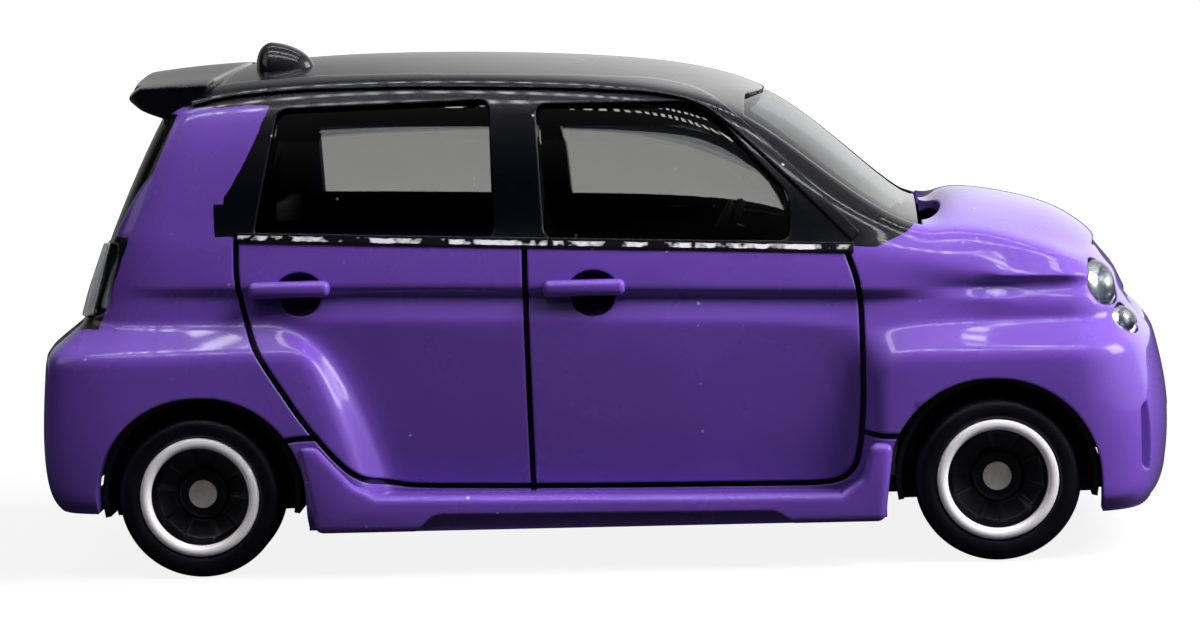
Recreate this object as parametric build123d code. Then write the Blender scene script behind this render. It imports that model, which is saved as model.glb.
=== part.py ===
from build123d import *
import os

os.makedirs("parts", exist_ok=True)

# A die-cast toy kei car at about 1:56, in millimetres. +X is forward and +Y is the car's left.
# Z = 0 is the ground, and X = 0 is midway between the bumpers.

# ---- Driving dimensions ------------------------------------------------------------------------
wheelbase = 42.0
axle_middle_x = -0.2          # the point midway between the axles
tyre_radius = 4.35
wheel_width = 3.3
axle_radius = 0.74
axle_recess = 1.3             # flat axle end, in from the wheel's face
ring_outer_radius = 3.18
ring_inner_radius = 2.67
ring_depth = 0.25
dish_depth = 1.75
hub_radius = 1.25
arch_gap = 1.05               # from the tyre to the wheel arch
running_clearance = 0.06      # radial, axle in its bearing

wall = 1.1                    # the casting
glass_wall = 0.6
glass_recess = 0.3            # from the casting's outside to the panes
fit_gap = 0.1                 # around pieces seated in the casting

skirt_z = 2.5                 # bottom of the front bumper and sills
tail_skirt_z = 3.6            # bottom of the rear bumper
belt_z = 17.4                 # bottom of the side windows
roof_z = 26.7
body_half_width = 12.0        # over the doors
flare_stand = 1.2             # the flares stand out this far from the doors
flare_slope = 1.1             # a flare's edge widens by this from its outer face to the flank
sill_stand = 0.8
b_pillar_x = -3.55            # the cut between the doors
roof_crown_radius = 45.0
bonnet_crown_radius = 50.0
groove_width = 0.45
groove_depth = 0.4

base_bottom_z = 3.2
base_wall = 0.9
base_ahead = 5.8
base_behind = 6.4
bearing_inner_y = 6.6
bearing_half_length = 2.0
floor_z = 6.6                 # top of the interior's floor
floor_wall = 0.8
steering_radius = 2.2
steering_y = 4.6              # right-hand drive
steering_tilt = 28
post_radius = 1.8             # the casting's posts, which the rivets hold
post_ahead = 3.6              # front post ahead of the front axle
post_behind = 4.7             # rear post behind the rear axle
rivet_radius = 0.9
rivet_length = 2.5
rivet_head_radius = 1.6
rivet_head_depth = 0.45
rivet_sink = 0.05             # from the base's underside up to the rivet heads

lamp_z = 12.9
lamp_radius = 2.2
lamp_back = 4.0               # the lamps' bores start this far ahead of the front axle
tail_lamp_ahead = 4.0         # the tail lamps end this far behind the rear axle
handle_length = 4.3
handle_height = 0.95
handle_stand = 0.45
handle_z = 15.0
handle_cup_radius = 1.3
fin_half_width = 1.0
fin_y = -4.2                  # it stands to the right of the middle
spoiler_end_wall = 1.2

flare_half_width = body_half_width + flare_stand
flare_root_half_width = flare_half_width - 2.4
sill_half_width = body_half_width + sill_stand
cowl_half_width = body_half_width - 2.8
spoiler_half_width = body_half_width - 3.0
lamp_y = body_half_width - 4.0
wheel_face_y = body_half_width + 0.4          # outer face of each wheel
arch_inner_y = wheel_face_y - wheel_width - 0.3   # the arches' pockets reach in to here
base_half_width = arch_inner_y - 0.3
rear_axle_x = axle_middle_x - wheelbase / 2
front_axle_x = axle_middle_x + wheelbase / 2
arch_radius = tyre_radius + arch_gap
far = 60.0                    # longer than any cut needs

parts = {}


# ---- Drawing helpers ---------------------------------------------------------------------------
def outline(corners, inset=0.0):
    """A closed outline of rows (across, up, corner radius), drawn in from its edges by inset."""
    points = [Vector(across, up) for across, up, radius in corners]
    area = sum(here.X * after.Y - here.Y * after.X for here, after in zip(points, points[1:] + points[:1]))
    side = 1 if area > 0 else -1
    moved, radii = [], []
    for i, here in enumerate(points):
        before = (here - points[i - 1]).normalized()
        after = (points[(i + 1) % len(points)] - here).normalized()
        inward = (Vector(-before.Y, before.X) + Vector(-after.Y, after.X)) * side
        moved.append(here + inward * (inset / (1 + before.dot(after))))
        outer_corner = before.cross(after).Z * side > 0
        radius = corners[i][2]
        radii.append(max(radius - inset, 0) if outer_corner else radius + inset if radius else 0)
    return make_face(FilletPolyline(*moved, radius=radii, close=True))


def side_slab(face, half_width):
    """A side view, as wide as given to each side of the middle."""
    return extrude(Plane.XZ * face, half_width, both=True)


def side_pair(face, inside, outside):
    """A side view on both flanks, from one distance off the middle to another."""
    right = extrude(Plane.XZ.offset(inside) * face, outside - inside)
    return right + mirror(right, Plane.XZ)


def end_prism(face, x_from, x_to):
    """A front view, along X."""
    return extrude(Plane.YZ.offset(x_from) * face, x_to - x_from)


def pair(right_piece):
    """A piece on the right and its mirror image on the left."""
    return right_piece + mirror(right_piece, Plane.XZ)


def crowned(face, top_z, crown_radius):
    """A side view turned about a line below it, so that it is crowned from side to side."""
    swing = 24
    turned = revolve(Plane.XZ * face, Axis((0, 0, top_z - crown_radius), (1, 0, 0)), 2 * swing)
    return turned.rotate(Axis((0, 0, top_z - crown_radius), (1, 0, 0)), -swing)


def level(row, inset):
    """A level section of the body, drawn in by inset all round."""
    z, tail, tail_sweep, tail_half, middle_half, nose_half, nose_sweep, nose, corner = row
    x_tail = rear_axle_x - tail + inset
    x_nose = front_axle_x + nose - inset
    tail_left = (x_tail + tail_sweep, tail_half - inset)
    nose_left = (x_nose - nose_sweep, nose_half - inset)
    middle_left = ((tail_left[0] + nose_left[0]) / 2, middle_half - inset)

    def right(point):
        return (point[0], -point[1])

    edges = [
        ThreePointArc(tail_left, middle_left, nose_left),
        ThreePointArc(nose_left, (x_nose, 0), right(nose_left)),
        ThreePointArc(right(nose_left), right(middle_left), right(tail_left)),
        ThreePointArc(right(tail_left), (x_tail, 0), tail_left),
    ]
    face = make_face(Curve(edges))
    return Pos(0, 0, z) * fillet(face.vertices(), max(corner - inset, 0.4))


def levels(rows, inset, ruled=False):
    return loft([level(row, inset) for row in rows], ruled=ruled)


# ---- The body's tables -------------------------------------------------------------------------
# height, tail behind the rear axle, its sweep and half width, half width amidships,
# nose half width and sweep, nose ahead of the front axle, corner radius
lower_levels = [
    (skirt_z, 7.0, 1.5, body_half_width - 0.8, body_half_width - 0.3, body_half_width - 1.0, 3.4, 8.0, 2.5),
    (8.0, 7.0, 1.5, body_half_width - 0.6, body_half_width, body_half_width - 0.8, 3.4, 8.4, 2.5),
    (13.5, 6.3, 1.5, body_half_width - 0.8, body_half_width, body_half_width - 1.0, 3.2, 7.8, 2.5),
    (19.0, 3.8, 1.5, body_half_width - 1.2, body_half_width - 0.5, body_half_width - 1.8, 3.0, 6.6, 2.5),
]
cabin_levels = [
    (12.0, 8.1, 2.9, body_half_width - 0.7, body_half_width, body_half_width - 1.6, 2.6, 1.4, 2.0),
    (belt_z, 5.4, 1.4, body_half_width - 1.1, body_half_width - 0.5, body_half_width - 1.7, 2.2, -3.6, 1.4),
    (roof_z + 0.8, 0.2, 1.0, body_half_width - 2.8, body_half_width - 2.1, body_half_width - 2.9, 2.0, -14.2, 1.2),
]
skirt_levels = [
    (skirt_z, 8.8, 1.8, flare_half_width - 0.6, flare_half_width - 0.3, flare_half_width - 1.0, 2.2, 9.0, 2.4),
    (4.5, 9.25, 1.8, flare_half_width - 0.3, flare_half_width, flare_half_width - 0.8, 2.4, 9.4, 2.4),
    (8.8, 9.2, 1.8, flare_half_width - 0.3, flare_half_width, flare_half_width - 1.0, 2.6, 9.65, 2.4),
    (12.0, 8.8, 1.8, flare_half_width - 0.6, flare_half_width - 0.1, flare_half_width - 1.6, 2.6, 8.3, 2.4),
    (13.7, 6.9, 1.8, flare_half_width - 2.0, flare_half_width - 1.4, flare_half_width - 2.4, 3.2, 6.0, 2.0),
]
# Side views: x, z, corner radius
roof_side = [
    (rear_axle_x - 12, 0, 0),
    (rear_axle_x - 12, roof_z - 1.8, 0),
    (rear_axle_x + 0.2, roof_z - 0.73, 0),
    (-8.06, roof_z + 0.73, 95.0),
    (front_axle_x - 14.03, roof_z - 1.17, 5.5),
    (front_axle_x - 7.1, roof_z - 5.92, 40.0),
    (front_axle_x - 0.4, roof_z - 13.62, 0),
    (front_axle_x - 0.4, 0, 0),
]
bonnet_side = [
    (rear_axle_x - 15, 0, 0),
    (rear_axle_x - 15, belt_z + 2.5, 0),
    (front_axle_x - 6.2, belt_z + 0.6, 2.0),
    (front_axle_x - 3.6, belt_z + 1.0, 2.0),
    (front_axle_x - 1.3, belt_z + 0.9, 8.0),
    (front_axle_x + 3.5, belt_z - 0.06, 7.0),
    (front_axle_x + 5.55, belt_z - 1.4, 4.0),
    (front_axle_x + 8.1, 11.3, 3.0),
    (front_axle_x + 9.2, 8.0, 0),
    (front_axle_x + 9.2, 0, 0),
]
# The trough in front of the windscreen, between the wings
cowl_side = [
    (front_axle_x - 12, belt_z - 0.8, 0),
    (front_axle_x - 3.7, belt_z - 0.8, 0.3),
    (front_axle_x - 3.0, belt_z + 0.6, 0),
    (front_axle_x - 3.0, belt_z + 3, 0),
    (front_axle_x - 12, belt_z + 3, 0),
]
# Where the wheel flares end on the flank
tail_flare = [
    (rear_axle_x - 15, 0, 0),
    (rear_axle_x - 15, 14.0, 0),
    (rear_axle_x + 4.6, 14.0, 1.5),
    (rear_axle_x + 7.3, 12.2, 2.5),
    (rear_axle_x + 10.5, 4.5, 0),
    (rear_axle_x + 10.5, 0, 0),
]
nose_flare = [
    (front_axle_x - 6.4, 0, 0),
    (front_axle_x - 6.4, 10.6, 2.0),
    (front_axle_x - 3.6, 12.6, 2.5),
    (front_axle_x + 15, 12.5, 0),
    (front_axle_x + 15, 0, 0),
]
sill_side = [
    (rear_axle_x + 5.9, skirt_z, 0.8),
    (rear_axle_x + 5.4, 7.25, 0.2),
    (rear_axle_x + 6.9, 7.35, 0.5),
    (rear_axle_x + 10.2, 4.6, 2.0),
    (front_axle_x - 8.0, 4.1, 1.2),
    (front_axle_x - 6.2, 6.5, 0.3),
    (front_axle_x - 5.4, 6.5, 0.2),
    (front_axle_x - 6.0, skirt_z, 0.8),
]
sill_scoop = [
    (rear_axle_x + 10.5, skirt_z - 1, 0),
    (rear_axle_x + 12.5, skirt_z + 0.9, 0.5),
    (front_axle_x - 11.5, skirt_z + 0.7, 0.5),
    (front_axle_x - 9.5, skirt_z - 1, 0),
]
rear_side_window = [
    (rear_axle_x + 3.3, belt_z + 0.5, 0.4),
    (rear_axle_x + 4.7, roof_z - 2.1, 0.8),
    (b_pillar_x - 1.2, roof_z - 1.95, 0.5),
    (b_pillar_x - 1.05, belt_z + 0.2, 0.3),
]
front_side_window = [
    (b_pillar_x + 1.5, belt_z + 0.15, 0.3),
    (b_pillar_x + 1.2, roof_z - 2.2, 0.5),
    (front_axle_x - 15.3, roof_z - 2.4, 1.2),
    (front_axle_x - 10.5, roof_z - 7.0, 1.0),
    (front_axle_x - 10.5, belt_z - 0.3, 0.3),
]
rear_door_cut = [
    (rear_axle_x + 2.4, belt_z + 4, 0),
    (rear_axle_x + 2.4, 13.2, 2.5),
    (rear_axle_x + 7.9, 5.6, 2.5),
    (rear_axle_x + 10.6, 4.6, 1.5),
    (b_pillar_x, 4.45, 0),
    (b_pillar_x, belt_z + 4, 0),
]
front_door_cut = [
    (b_pillar_x, belt_z + 4, 0),
    (b_pillar_x, 4.45, 0.5),
    (front_axle_x - 7.2, 4.2, 1.2),
    (front_axle_x - 6.9, 16.0, 2.5),
    (front_axle_x - 9.0, belt_z + 0.5, 0),
    (front_axle_x - 9.0, belt_z + 4, 0),
]
# Front views: y, z, corner radius
screen_low = body_half_width - 2.9
screen_high = body_half_width - 4.5
windscreen_front = [
    (-screen_low, 17.6, 0.8),
    (-screen_high, 24.4, 0.8),
    (screen_high, 24.4, 0.8),
    (screen_low, 17.6, 0.8),
]
glass_low = body_half_width - 3.7
glass_high = body_half_width - 4.6
rear_glass_back = [
    (-glass_low, 17.2, 0.8),
    (-glass_high, 23.6, 0.8),
    (glass_high, 23.6, 0.8),
    (glass_low, 17.2, 0.8),
]
tail_lamp_y = body_half_width - 2.8           # its inner edge
tail_lamp_back = [
    (-tail_lamp_y - 1.7, 13.9, 0.5),
    (-tail_lamp_y - 1.4, 17.7, 0.5),
    (-tail_lamp_y, 17.7, 0.5),
    (-tail_lamp_y - 0.2, 13.9, 0.5),
]
grille_front = [(-5.3, 11.9, 0.3), (-5.3, 13.5, 0.3), (5.3, 13.5, 0.3), (5.3, 11.9, 0.3)]
intake_front = [(-6.4, 4.3, 0.5), (-5.6, 7.2, 0.5), (5.6, 7.2, 0.5), (6.4, 4.3, 0.5)]


# ---- The casting's form ------------------------------------------------------------------------
def flare_region(corners, inset):
    """The space a pair of wheel flares may fill: wide at the flank, drawn in to its outer face."""
    wide = outline(corners, inset - flare_slope)
    flank = Plane.XZ.offset(flare_root_half_width) * wide
    outer = Plane.XZ.offset(flare_half_width + 0.6) * outline(corners, inset)
    return side_slab(wide, flare_root_half_width) + pair(loft([flank, outer], ruled=True))


def cabin_form(inset):
    roof = crowned(outline(roof_side, inset), roof_z, roof_crown_radius)
    return levels(cabin_levels, inset) & roof


def body_form(inset):
    """The whole outside form of the body, drawn in by inset."""
    bonnet = crowned(outline(bonnet_side, inset), belt_z + 1.1, bonnet_crown_radius)
    skirt = levels(skirt_levels, inset, ruled=True)
    sill = side_slab(outline(sill_side, inset), sill_half_width - inset)
    cowl = side_slab(outline(cowl_side, -inset), cowl_half_width + inset)
    form = ((levels(lower_levels, inset) & bonnet) - cowl) + cabin_form(inset)
    form += skirt & flare_region(tail_flare, inset)
    form += skirt & flare_region(nose_flare, inset)
    return form + sill


def band(corners):
    """A door's edge, as wide as a groove."""
    return outline(corners, -groove_width / 2) - outline(corners, groove_width / 2)


# ---- Shapes that openings and their fillings share ---------------------------------------------
def screens(inset):
    """The windscreen's and the rear glass's openings."""
    front = end_prism(outline(windscreen_front, inset), 0, front_axle_x - 3.1)
    return front + end_prism(outline(rear_glass_back, inset), -far, rear_axle_x + 8)


def side_glazing(inset):
    return side_slab(outline(rear_side_window, inset), far) + side_slab(outline(front_side_window, inset), far)


def headlamp_bore(radius):
    along_x = Cylinder(radius, far, rotation=(0, 90, 0), align=(Align.CENTER, Align.CENTER, Align.MIN))
    return Pos(front_axle_x + lamp_back, -lamp_y, lamp_z) * along_x


def tail_lamp_bore(inset):
    return end_prism(outline(tail_lamp_back, inset), -far, rear_axle_x - tail_lamp_ahead)


def nose_bore(front_outline, inset):
    return end_prism(outline(front_outline, inset), front_axle_x, far)


def pillar(radius, z_from, z_to):
    """An upright round bar."""
    return Pos(0, 0, z_from) * Cylinder(radius, z_to - z_from, align=(Align.CENTER, Align.CENTER, Align.MIN))


def crossbar(radius, inside, outside):
    """A round bar along Y on the right, from one distance off the middle to another."""
    bar = Cylinder(radius, outside - inside, rotation=(90, 0, 0), align=(Align.CENTER, Align.CENTER, Align.MIN))
    return Pos(0, -inside, tyre_radius) * bar


# ---- The casting -------------------------------------------------------------------------------
outer = body_form(0)
cavity = body_form(wall)
groove_floor = body_form(groove_depth)
base_top_z = base_bottom_z + base_wall
# where each post stands, and its top
posts = [
    (Pos(front_axle_x + post_ahead, 0, 0), belt_z),
    (Pos(rear_axle_x - post_behind, 0, 0), belt_z - 1.2),
]

arch_corners = [
    (-arch_radius - 0.5, 0, 0),
    (-arch_radius, tyre_radius, 0),
    (-arch_radius, tyre_radius + arch_radius, arch_radius - 0.05),
    (arch_radius, tyre_radius + arch_radius, arch_radius - 0.05),
    (arch_radius, tyre_radius, 0),
    (arch_radius + 0.5, 0, 0),
]
arch = side_pair(outline(arch_corners), arch_inner_y, far)

shell = outer - cavity
for axle_x in (rear_axle_x, front_axle_x):
    shell -= Pos(axle_x, 0, 0) * arch
for corners in (rear_door_cut, front_door_cut):
    groove = side_pair(band(corners), body_half_width / 2, far)
    groove = groove & Pos(0, 0, (skirt_z + belt_z) / 2) * Box(far, far, belt_z - skirt_z)
    shell -= groove - groove_floor
behind_arch = [
    (rear_axle_x - far, 0, 0),
    (rear_axle_x - far, tail_skirt_z, 0),
    (rear_axle_x - tyre_radius, tail_skirt_z, 0),
    (rear_axle_x - tyre_radius, 0, 0),
]
shell -= side_slab(outline(behind_arch), far)
shell -= screens(0)
shell -= side_glazing(0)
shell -= side_pair(outline(sill_scoop), sill_half_width - groove_depth, far)
shell -= pair(headlamp_bore(lamp_radius))
shell -= pair(tail_lamp_bore(0))
shell -= nose_bore(grille_front, 0)
shell -= nose_bore(intake_front, 0)

# front end of each handle
handle_fronts = [rear_axle_x + 7.2, b_pillar_x + 5.4]
for front_x in handle_fronts:
    cup = Pos(front_x - handle_length / 2, 0, handle_z) * Rot(90, 0, 0) * Cylinder(handle_cup_radius, 2 * far)
    shell -= cup - groove_floor
    bar = Pos(front_x - handle_length / 2, 0, handle_z) * Box(
        handle_length, 2 * (body_half_width + handle_stand), handle_height)
    bar = fillet(bar.edges().filter_by(Axis.Y), handle_height / 2 - 0.05)
    shell += bar - Box(far, 2 * (body_half_width - wall / 2), far)
for place, top_z in posts:
    post = place * pillar(post_radius, base_top_z, top_z) & outer
    shell += post - place * pillar(rivet_radius, 0, base_top_z + rivet_length)
parts["body_shell"] = shell

# ---- Glazing and lamps -------------------------------------------------------------------------
lining = cabin_form(wall + fit_gap)
lining_inside = cabin_form(wall + fit_gap + glass_wall)
greenhouse = side_slab(
    outline([
        (rear_axle_x - 8, belt_z - 0.9, 0),
        (rear_axle_x - 8, roof_z + 2, 0),
        (front_axle_x, roof_z + 2, 0),
        (front_axle_x - 3.6, belt_z - 0.6, 0),
    ]),
    far,
)
panes = cabin_form(glass_recess) & (screens(fit_gap) + side_glazing(fit_gap))
parts["window_insert"] = ((lining + panes) - lining_inside) & greenhouse

headlamp = (headlamp_bore(lamp_radius - fit_gap) & outer) - cavity
tail_lamp = (tail_lamp_bore(fit_gap) & outer) - cavity
parts["headlamp_right"] = headlamp
parts["headlamp_left"] = mirror(headlamp, Plane.XZ)
parts["tail_lamp_right"] = tail_lamp
parts["tail_lamp_left"] = mirror(tail_lamp, Plane.XZ)
parts["grille_panel"] = (nose_bore(grille_front, fit_gap) & groove_floor) - cavity
parts["lower_grille"] = (nose_bore(intake_front, fit_gap) & groove_floor) - cavity

# ---- Roof pieces -------------------------------------------------------------------------------
spoiler_side = [
    (rear_axle_x - 4.75, roof_z - 1.85, 0.4),
    (rear_axle_x - 3.9, roof_z - 0.5, 1.0),
    (rear_axle_x + 1.8, roof_z - 0.1, 0),
    (rear_axle_x + 1.8, roof_z - 1.0, 0),
    (rear_axle_x + 0.2, roof_z - 1.9, 0),
    (rear_axle_x - 2.2, roof_z - 2.2, 0.3),
]
spoiler_end_side = [
    (rear_axle_x - 4.7, roof_z - 1.8, 0.4),
    (rear_axle_x - 3.8, roof_z - 0.9, 0.3),
    (rear_axle_x, roof_z - 0.8, 0),
    (rear_axle_x, roof_z - 3.0, 0),
    (rear_axle_x - 2.2, roof_z - 3.5, 0.3),
]
spoiler = crowned(outline(spoiler_side), roof_z, roof_crown_radius)
spoiler = spoiler & Pos(rear_axle_x, 0, roof_z) * Box(far, 2 * spoiler_half_width, far)
spoiler += side_pair(outline(spoiler_end_side), spoiler_half_width - spoiler_end_wall, spoiler_half_width)
parts["roof_spoiler"] = spoiler - outer
fin_side = [
    (rear_axle_x + 2.85, roof_z - 1.2, 0),
    (rear_axle_x + 2.85, roof_z + 0.5, 0.6),
    (rear_axle_x + 3.8, roof_z + 1.0, 0.6),
    (rear_axle_x + 5.2, roof_z + 0.5, 1.2),
    (rear_axle_x + 6.1, roof_z - 0.4, 0),
    (rear_axle_x + 6.1, roof_z - 1.2, 0),
]
parts["antenna_fin"] = Pos(0, fin_y, 0) * side_slab(outline(fin_side), fin_half_width) - outer

# ---- Base and rivets ---------------------------------------------------------------------------
base_nose_x = front_axle_x + base_ahead
base_tail_x = rear_axle_x - base_behind
base = Pos((base_nose_x + base_tail_x) / 2, 0, base_bottom_z) * Box(
    base_nose_x - base_tail_x, 2 * base_half_width, base_wall, align=(Align.CENTER, Align.CENTER, Align.MIN))
bearing_top_z = floor_z - floor_wall - fit_gap
bearing = Pos(0, -(bearing_inner_y + base_half_width) / 2, base_bottom_z) * Box(
    2 * bearing_half_length, base_half_width - bearing_inner_y, bearing_top_z - base_bottom_z,
    align=(Align.CENTER, Align.CENTER, Align.MIN))
for axle_x in (rear_axle_x, front_axle_x):
    base += Pos(axle_x, 0, 0) * pair(bearing)
    base -= Pos(axle_x, 0, 0) * pair(crossbar(axle_radius + running_clearance, 0, far))
middle = Pos(axle_middle_x, 0, base_bottom_z) * Box(
    wheelbase - 2 * arch_radius - 2.6, 2 * (body_half_width - wall - 0.9), base_wall,
    align=(Align.CENTER, Align.CENTER, Align.MIN))
base += middle
head_top_z = base_bottom_z + rivet_sink + rivet_head_depth
for place, top_z in posts:
    base -= place * pillar(rivet_radius + running_clearance, 0, base_top_z)
    base -= place * pillar(rivet_head_radius + fit_gap, 0, head_top_z)
parts["base_plate"] = base
rivet = pillar(rivet_radius, head_top_z, base_top_z + rivet_length)
rivet += pillar(rivet_head_radius, head_top_z - rivet_head_depth, head_top_z)
parts["rivet_front"] = posts[0][0] * rivet
parts["rivet_rear"] = posts[1][0] * rivet

# ---- Interior ----------------------------------------------------------------------------------
seat_sides = [
    # a front seat's outline, then the rear bench's
    [
        (-3.6, floor_z - 0.1, 0), (-5.6, 19.0, 0.5), (-4.2, 19.3, 0.5), (-2.3, 10.4, 1.0),
        (2.6, 11.0, 0.6), (3.0, 8.8, 0.5), (2.0, floor_z - 0.1, 0),
    ],
    [
        (-17.0, floor_z - 0.1, 0), (-19.4, 18.6, 0.5), (-18.0, 18.9, 0.5), (-16.2, 10.8, 1.0),
        (-11.6, 11.4, 0.6), (-11.2, 9.2, 0.5), (-12.0, floor_z - 0.1, 0),
    ],
]
dash_side = [
    (9.0, floor_z - 0.1, 0), (8.2, 13.0, 0.5), (8.6, 15.6, 0.6), (11.5, 16.0, 0.8),
    (13.4, 14.5, 0.5), (12.0, floor_z - 0.1, 0),
]
interior = Pos(axle_middle_x - 3.0, 0, floor_z - floor_wall) * Box(
    34.0, 2 * (base_half_width - 0.1), floor_wall, align=(Align.CENTER, Align.CENTER, Align.MIN))
interior += side_pair(outline(seat_sides[0]), 1.3, 7.6)
interior += side_slab(outline(seat_sides[1]), 7.9)
interior += side_slab(outline(dash_side), 8.3)
steering = Torus(steering_radius, 0.28) + Box(0.5, 2 * steering_radius, 0.3)
steering += Cylinder(0.5, 4.0, align=(Align.CENTER, Align.CENTER, Align.MAX))
interior += Pos(6.6, -steering_y, 16.5) * Rot(0, -90 + steering_tilt, 0) * steering
parts["interior_moulding"] = interior

# ---- Wheelsets ---------------------------------------------------------------------------------
# radius and depth in from the wheel's face, corner radius
wheel_section = [
    (axle_radius, axle_recess + 0.1, 0),
    (hub_radius, axle_recess + 0.1, 0),
    (hub_radius + 0.2, dish_depth, 0),
    (ring_inner_radius - 0.25, dish_depth - 0.3, 0),
    (ring_inner_radius, ring_depth, 0),
    (ring_outer_radius, ring_depth, 0),
    (ring_outer_radius, 0.1, 0),
    (tyre_radius - 0.5, 0.05, 0.1),
    (tyre_radius, 0.5, 0.3),
    (tyre_radius, wheel_width - 0.4, 0.2),
    (tyre_radius - 0.4, wheel_width, 0),
    (axle_radius, wheel_width, 0),
]
ring_section = [
    (ring_inner_radius, 0, 0.1),
    (ring_inner_radius, ring_depth, 0),
    (ring_outer_radius, ring_depth, 0),
    (ring_outer_radius, 0, 0.1),
]


def turned(section):
    """A right wheel's piece, turned from its section."""
    corners = [(radius, depth - wheel_face_y, rounding) for radius, depth, rounding in section]
    return revolve(Plane.XY * outline(corners), Axis.Y)


wheel = turned(wheel_section)
ring = turned(ring_section)
for end, axle_x in (("front", front_axle_x), ("rear", rear_axle_x)):
    hub = Pos(axle_x, 0, tyre_radius)
    parts["axle_" + end] = Pos(axle_x, 0, 0) * pair(crossbar(axle_radius, 0, wheel_face_y - axle_recess))
    for piece, name in ((wheel, "wheel_"), (ring, "rim_ring_")):
        parts[name + end + "_right"] = hub * piece
        parts[name + end + "_left"] = hub * mirror(piece, Plane.XZ)

for name, shape in parts.items():
    export_step(shape, f"parts/{name}.step")
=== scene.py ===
import math

import bmesh
import bpy
import numpy as np
from mathutils import Matrix, Vector


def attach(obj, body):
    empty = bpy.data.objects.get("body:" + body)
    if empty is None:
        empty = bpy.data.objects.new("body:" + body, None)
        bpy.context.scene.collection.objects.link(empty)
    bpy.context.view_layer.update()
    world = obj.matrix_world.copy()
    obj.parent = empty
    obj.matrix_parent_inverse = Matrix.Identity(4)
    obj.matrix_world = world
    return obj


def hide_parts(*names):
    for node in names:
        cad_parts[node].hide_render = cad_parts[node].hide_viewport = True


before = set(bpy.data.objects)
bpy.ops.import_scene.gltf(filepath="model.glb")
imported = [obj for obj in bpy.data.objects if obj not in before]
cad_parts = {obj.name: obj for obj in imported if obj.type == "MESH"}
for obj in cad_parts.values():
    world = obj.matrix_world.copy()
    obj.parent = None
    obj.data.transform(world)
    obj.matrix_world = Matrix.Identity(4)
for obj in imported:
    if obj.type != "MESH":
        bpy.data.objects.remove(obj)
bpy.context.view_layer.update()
mm = 0.001


def deselectAll():
    if bpy.context.object and bpy.context.object.mode != "OBJECT":
        bpy.ops.object.mode_set(mode="OBJECT")
    bpy.ops.object.select_all(action="DESELECT")


def makeActive(piece):
    deselectAll()
    piece.select_set(True)
    bpy.context.view_layer.objects.active = piece


def applyModifier(piece, kind, **settings):
    makeActive(piece)
    modifier = piece.modifiers.new(kind.title(), kind)
    for name, value in settings.items():
        setattr(modifier, name, value)
    bpy.ops.object.modifier_apply(modifier=modifier.name)


def editWhole(piece, mode="VERT"):
    makeActive(piece)
    bpy.ops.object.mode_set(mode="EDIT")
    bpy.ops.mesh.select_mode(type=mode)
    bpy.ops.mesh.select_all(action="SELECT")


def editDone():
    bpy.ops.object.mode_set(mode="OBJECT")


def volumeOf(piece):
    shape = bmesh.new()
    shape.from_mesh(piece.data)
    volume = shape.calc_volume(signed=True)
    shape.free()
    return volume


def mergeAndFaceOut(piece, distance=0.002):
    editWhole(piece)
    bpy.ops.mesh.remove_doubles(threshold=distance * mm)
    bpy.ops.mesh.normals_make_consistent(inside=False)
    editDone()
    if volumeOf(piece) < 0:
        piece.data.flip_normals()


def smoothByAngle(piece, degrees=32):
    makeActive(piece)
    bpy.ops.object.shade_smooth_by_angle(angle=math.radians(degrees))


def joinPieces(pieces, name):
    deselectAll()
    for piece in pieces:
        piece.select_set(True)
    bpy.context.view_layer.objects.active = pieces[0]
    bpy.ops.object.join()
    pieces[0].name = name
    return pieces[0]


def copyOf(piece, name, flipped=False, offset=(0, 0, 0)):
    # a copy with its own mesh, mirrored to the other flank where asked
    twin = piece.copy()
    twin.data = piece.data.copy()
    twin.name = name
    bpy.context.scene.collection.objects.link(twin)
    if flipped:
        twin.data.transform(Matrix.Diagonal((1, -1, 1, 1)))
        twin.data.flip_normals()
    twin.data.transform(Matrix.Translation(Vector(offset) * mm))
    return twin


def gridSheet(name, points, rowCreases=None, columnCreases=None):
    # a grid whose columns and rows are laid on the given points, with some of its lines creased
    columns, rows = len(points), len(points[0])
    deselectAll()
    bpy.ops.mesh.primitive_grid_add(x_subdivisions=columns - 1, y_subdivisions=rows - 1, size=2)
    sheet = bpy.context.object
    sheet.name = name
    places = []
    for vertex in sheet.data.vertices:
        column = round((vertex.co.x + 1) / 2 * (columns - 1))
        row = round((vertex.co.y + 1) / 2 * (rows - 1))
        places.append((column, row))
        vertex.co = Vector(points[column][row]) * mm
    creases = sheet.data.attributes.new("crease_edge", "FLOAT", "EDGE")
    for edge in sheet.data.edges:
        (columnA, rowA), (columnB, rowB) = (places[i] for i in edge.vertices)
        middle = (columnA + columnB) / 2
        for row, first, last, value in rowCreases or ():
            if rowA == rowB == row and first <= middle <= last:
                creases.data[edge.index].value = value
        middle = (rowA + rowB) / 2
        for column, first, last, value in columnCreases or ():
            if columnA == columnB == column and first <= middle <= last:
                creases.data[edge.index].value = value
    return sheet


def flatFace(name, corners, place, rounding=0, segments=4):
    # an outline with its corners rounded, laid out by place
    deselectAll()
    bpy.ops.mesh.primitive_circle_add(vertices=len(corners), fill_type="NGON")
    face = bpy.context.object
    face.name = name
    for vertex, corner in zip(face.data.vertices, corners):
        vertex.co = Vector(place(*corner)) * mm
    if rounding:
        editWhole(face)
        bpy.ops.mesh.bevel(offset=rounding * mm, segments=segments, affect="VERTICES")
        editDone()
    return face


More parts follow.
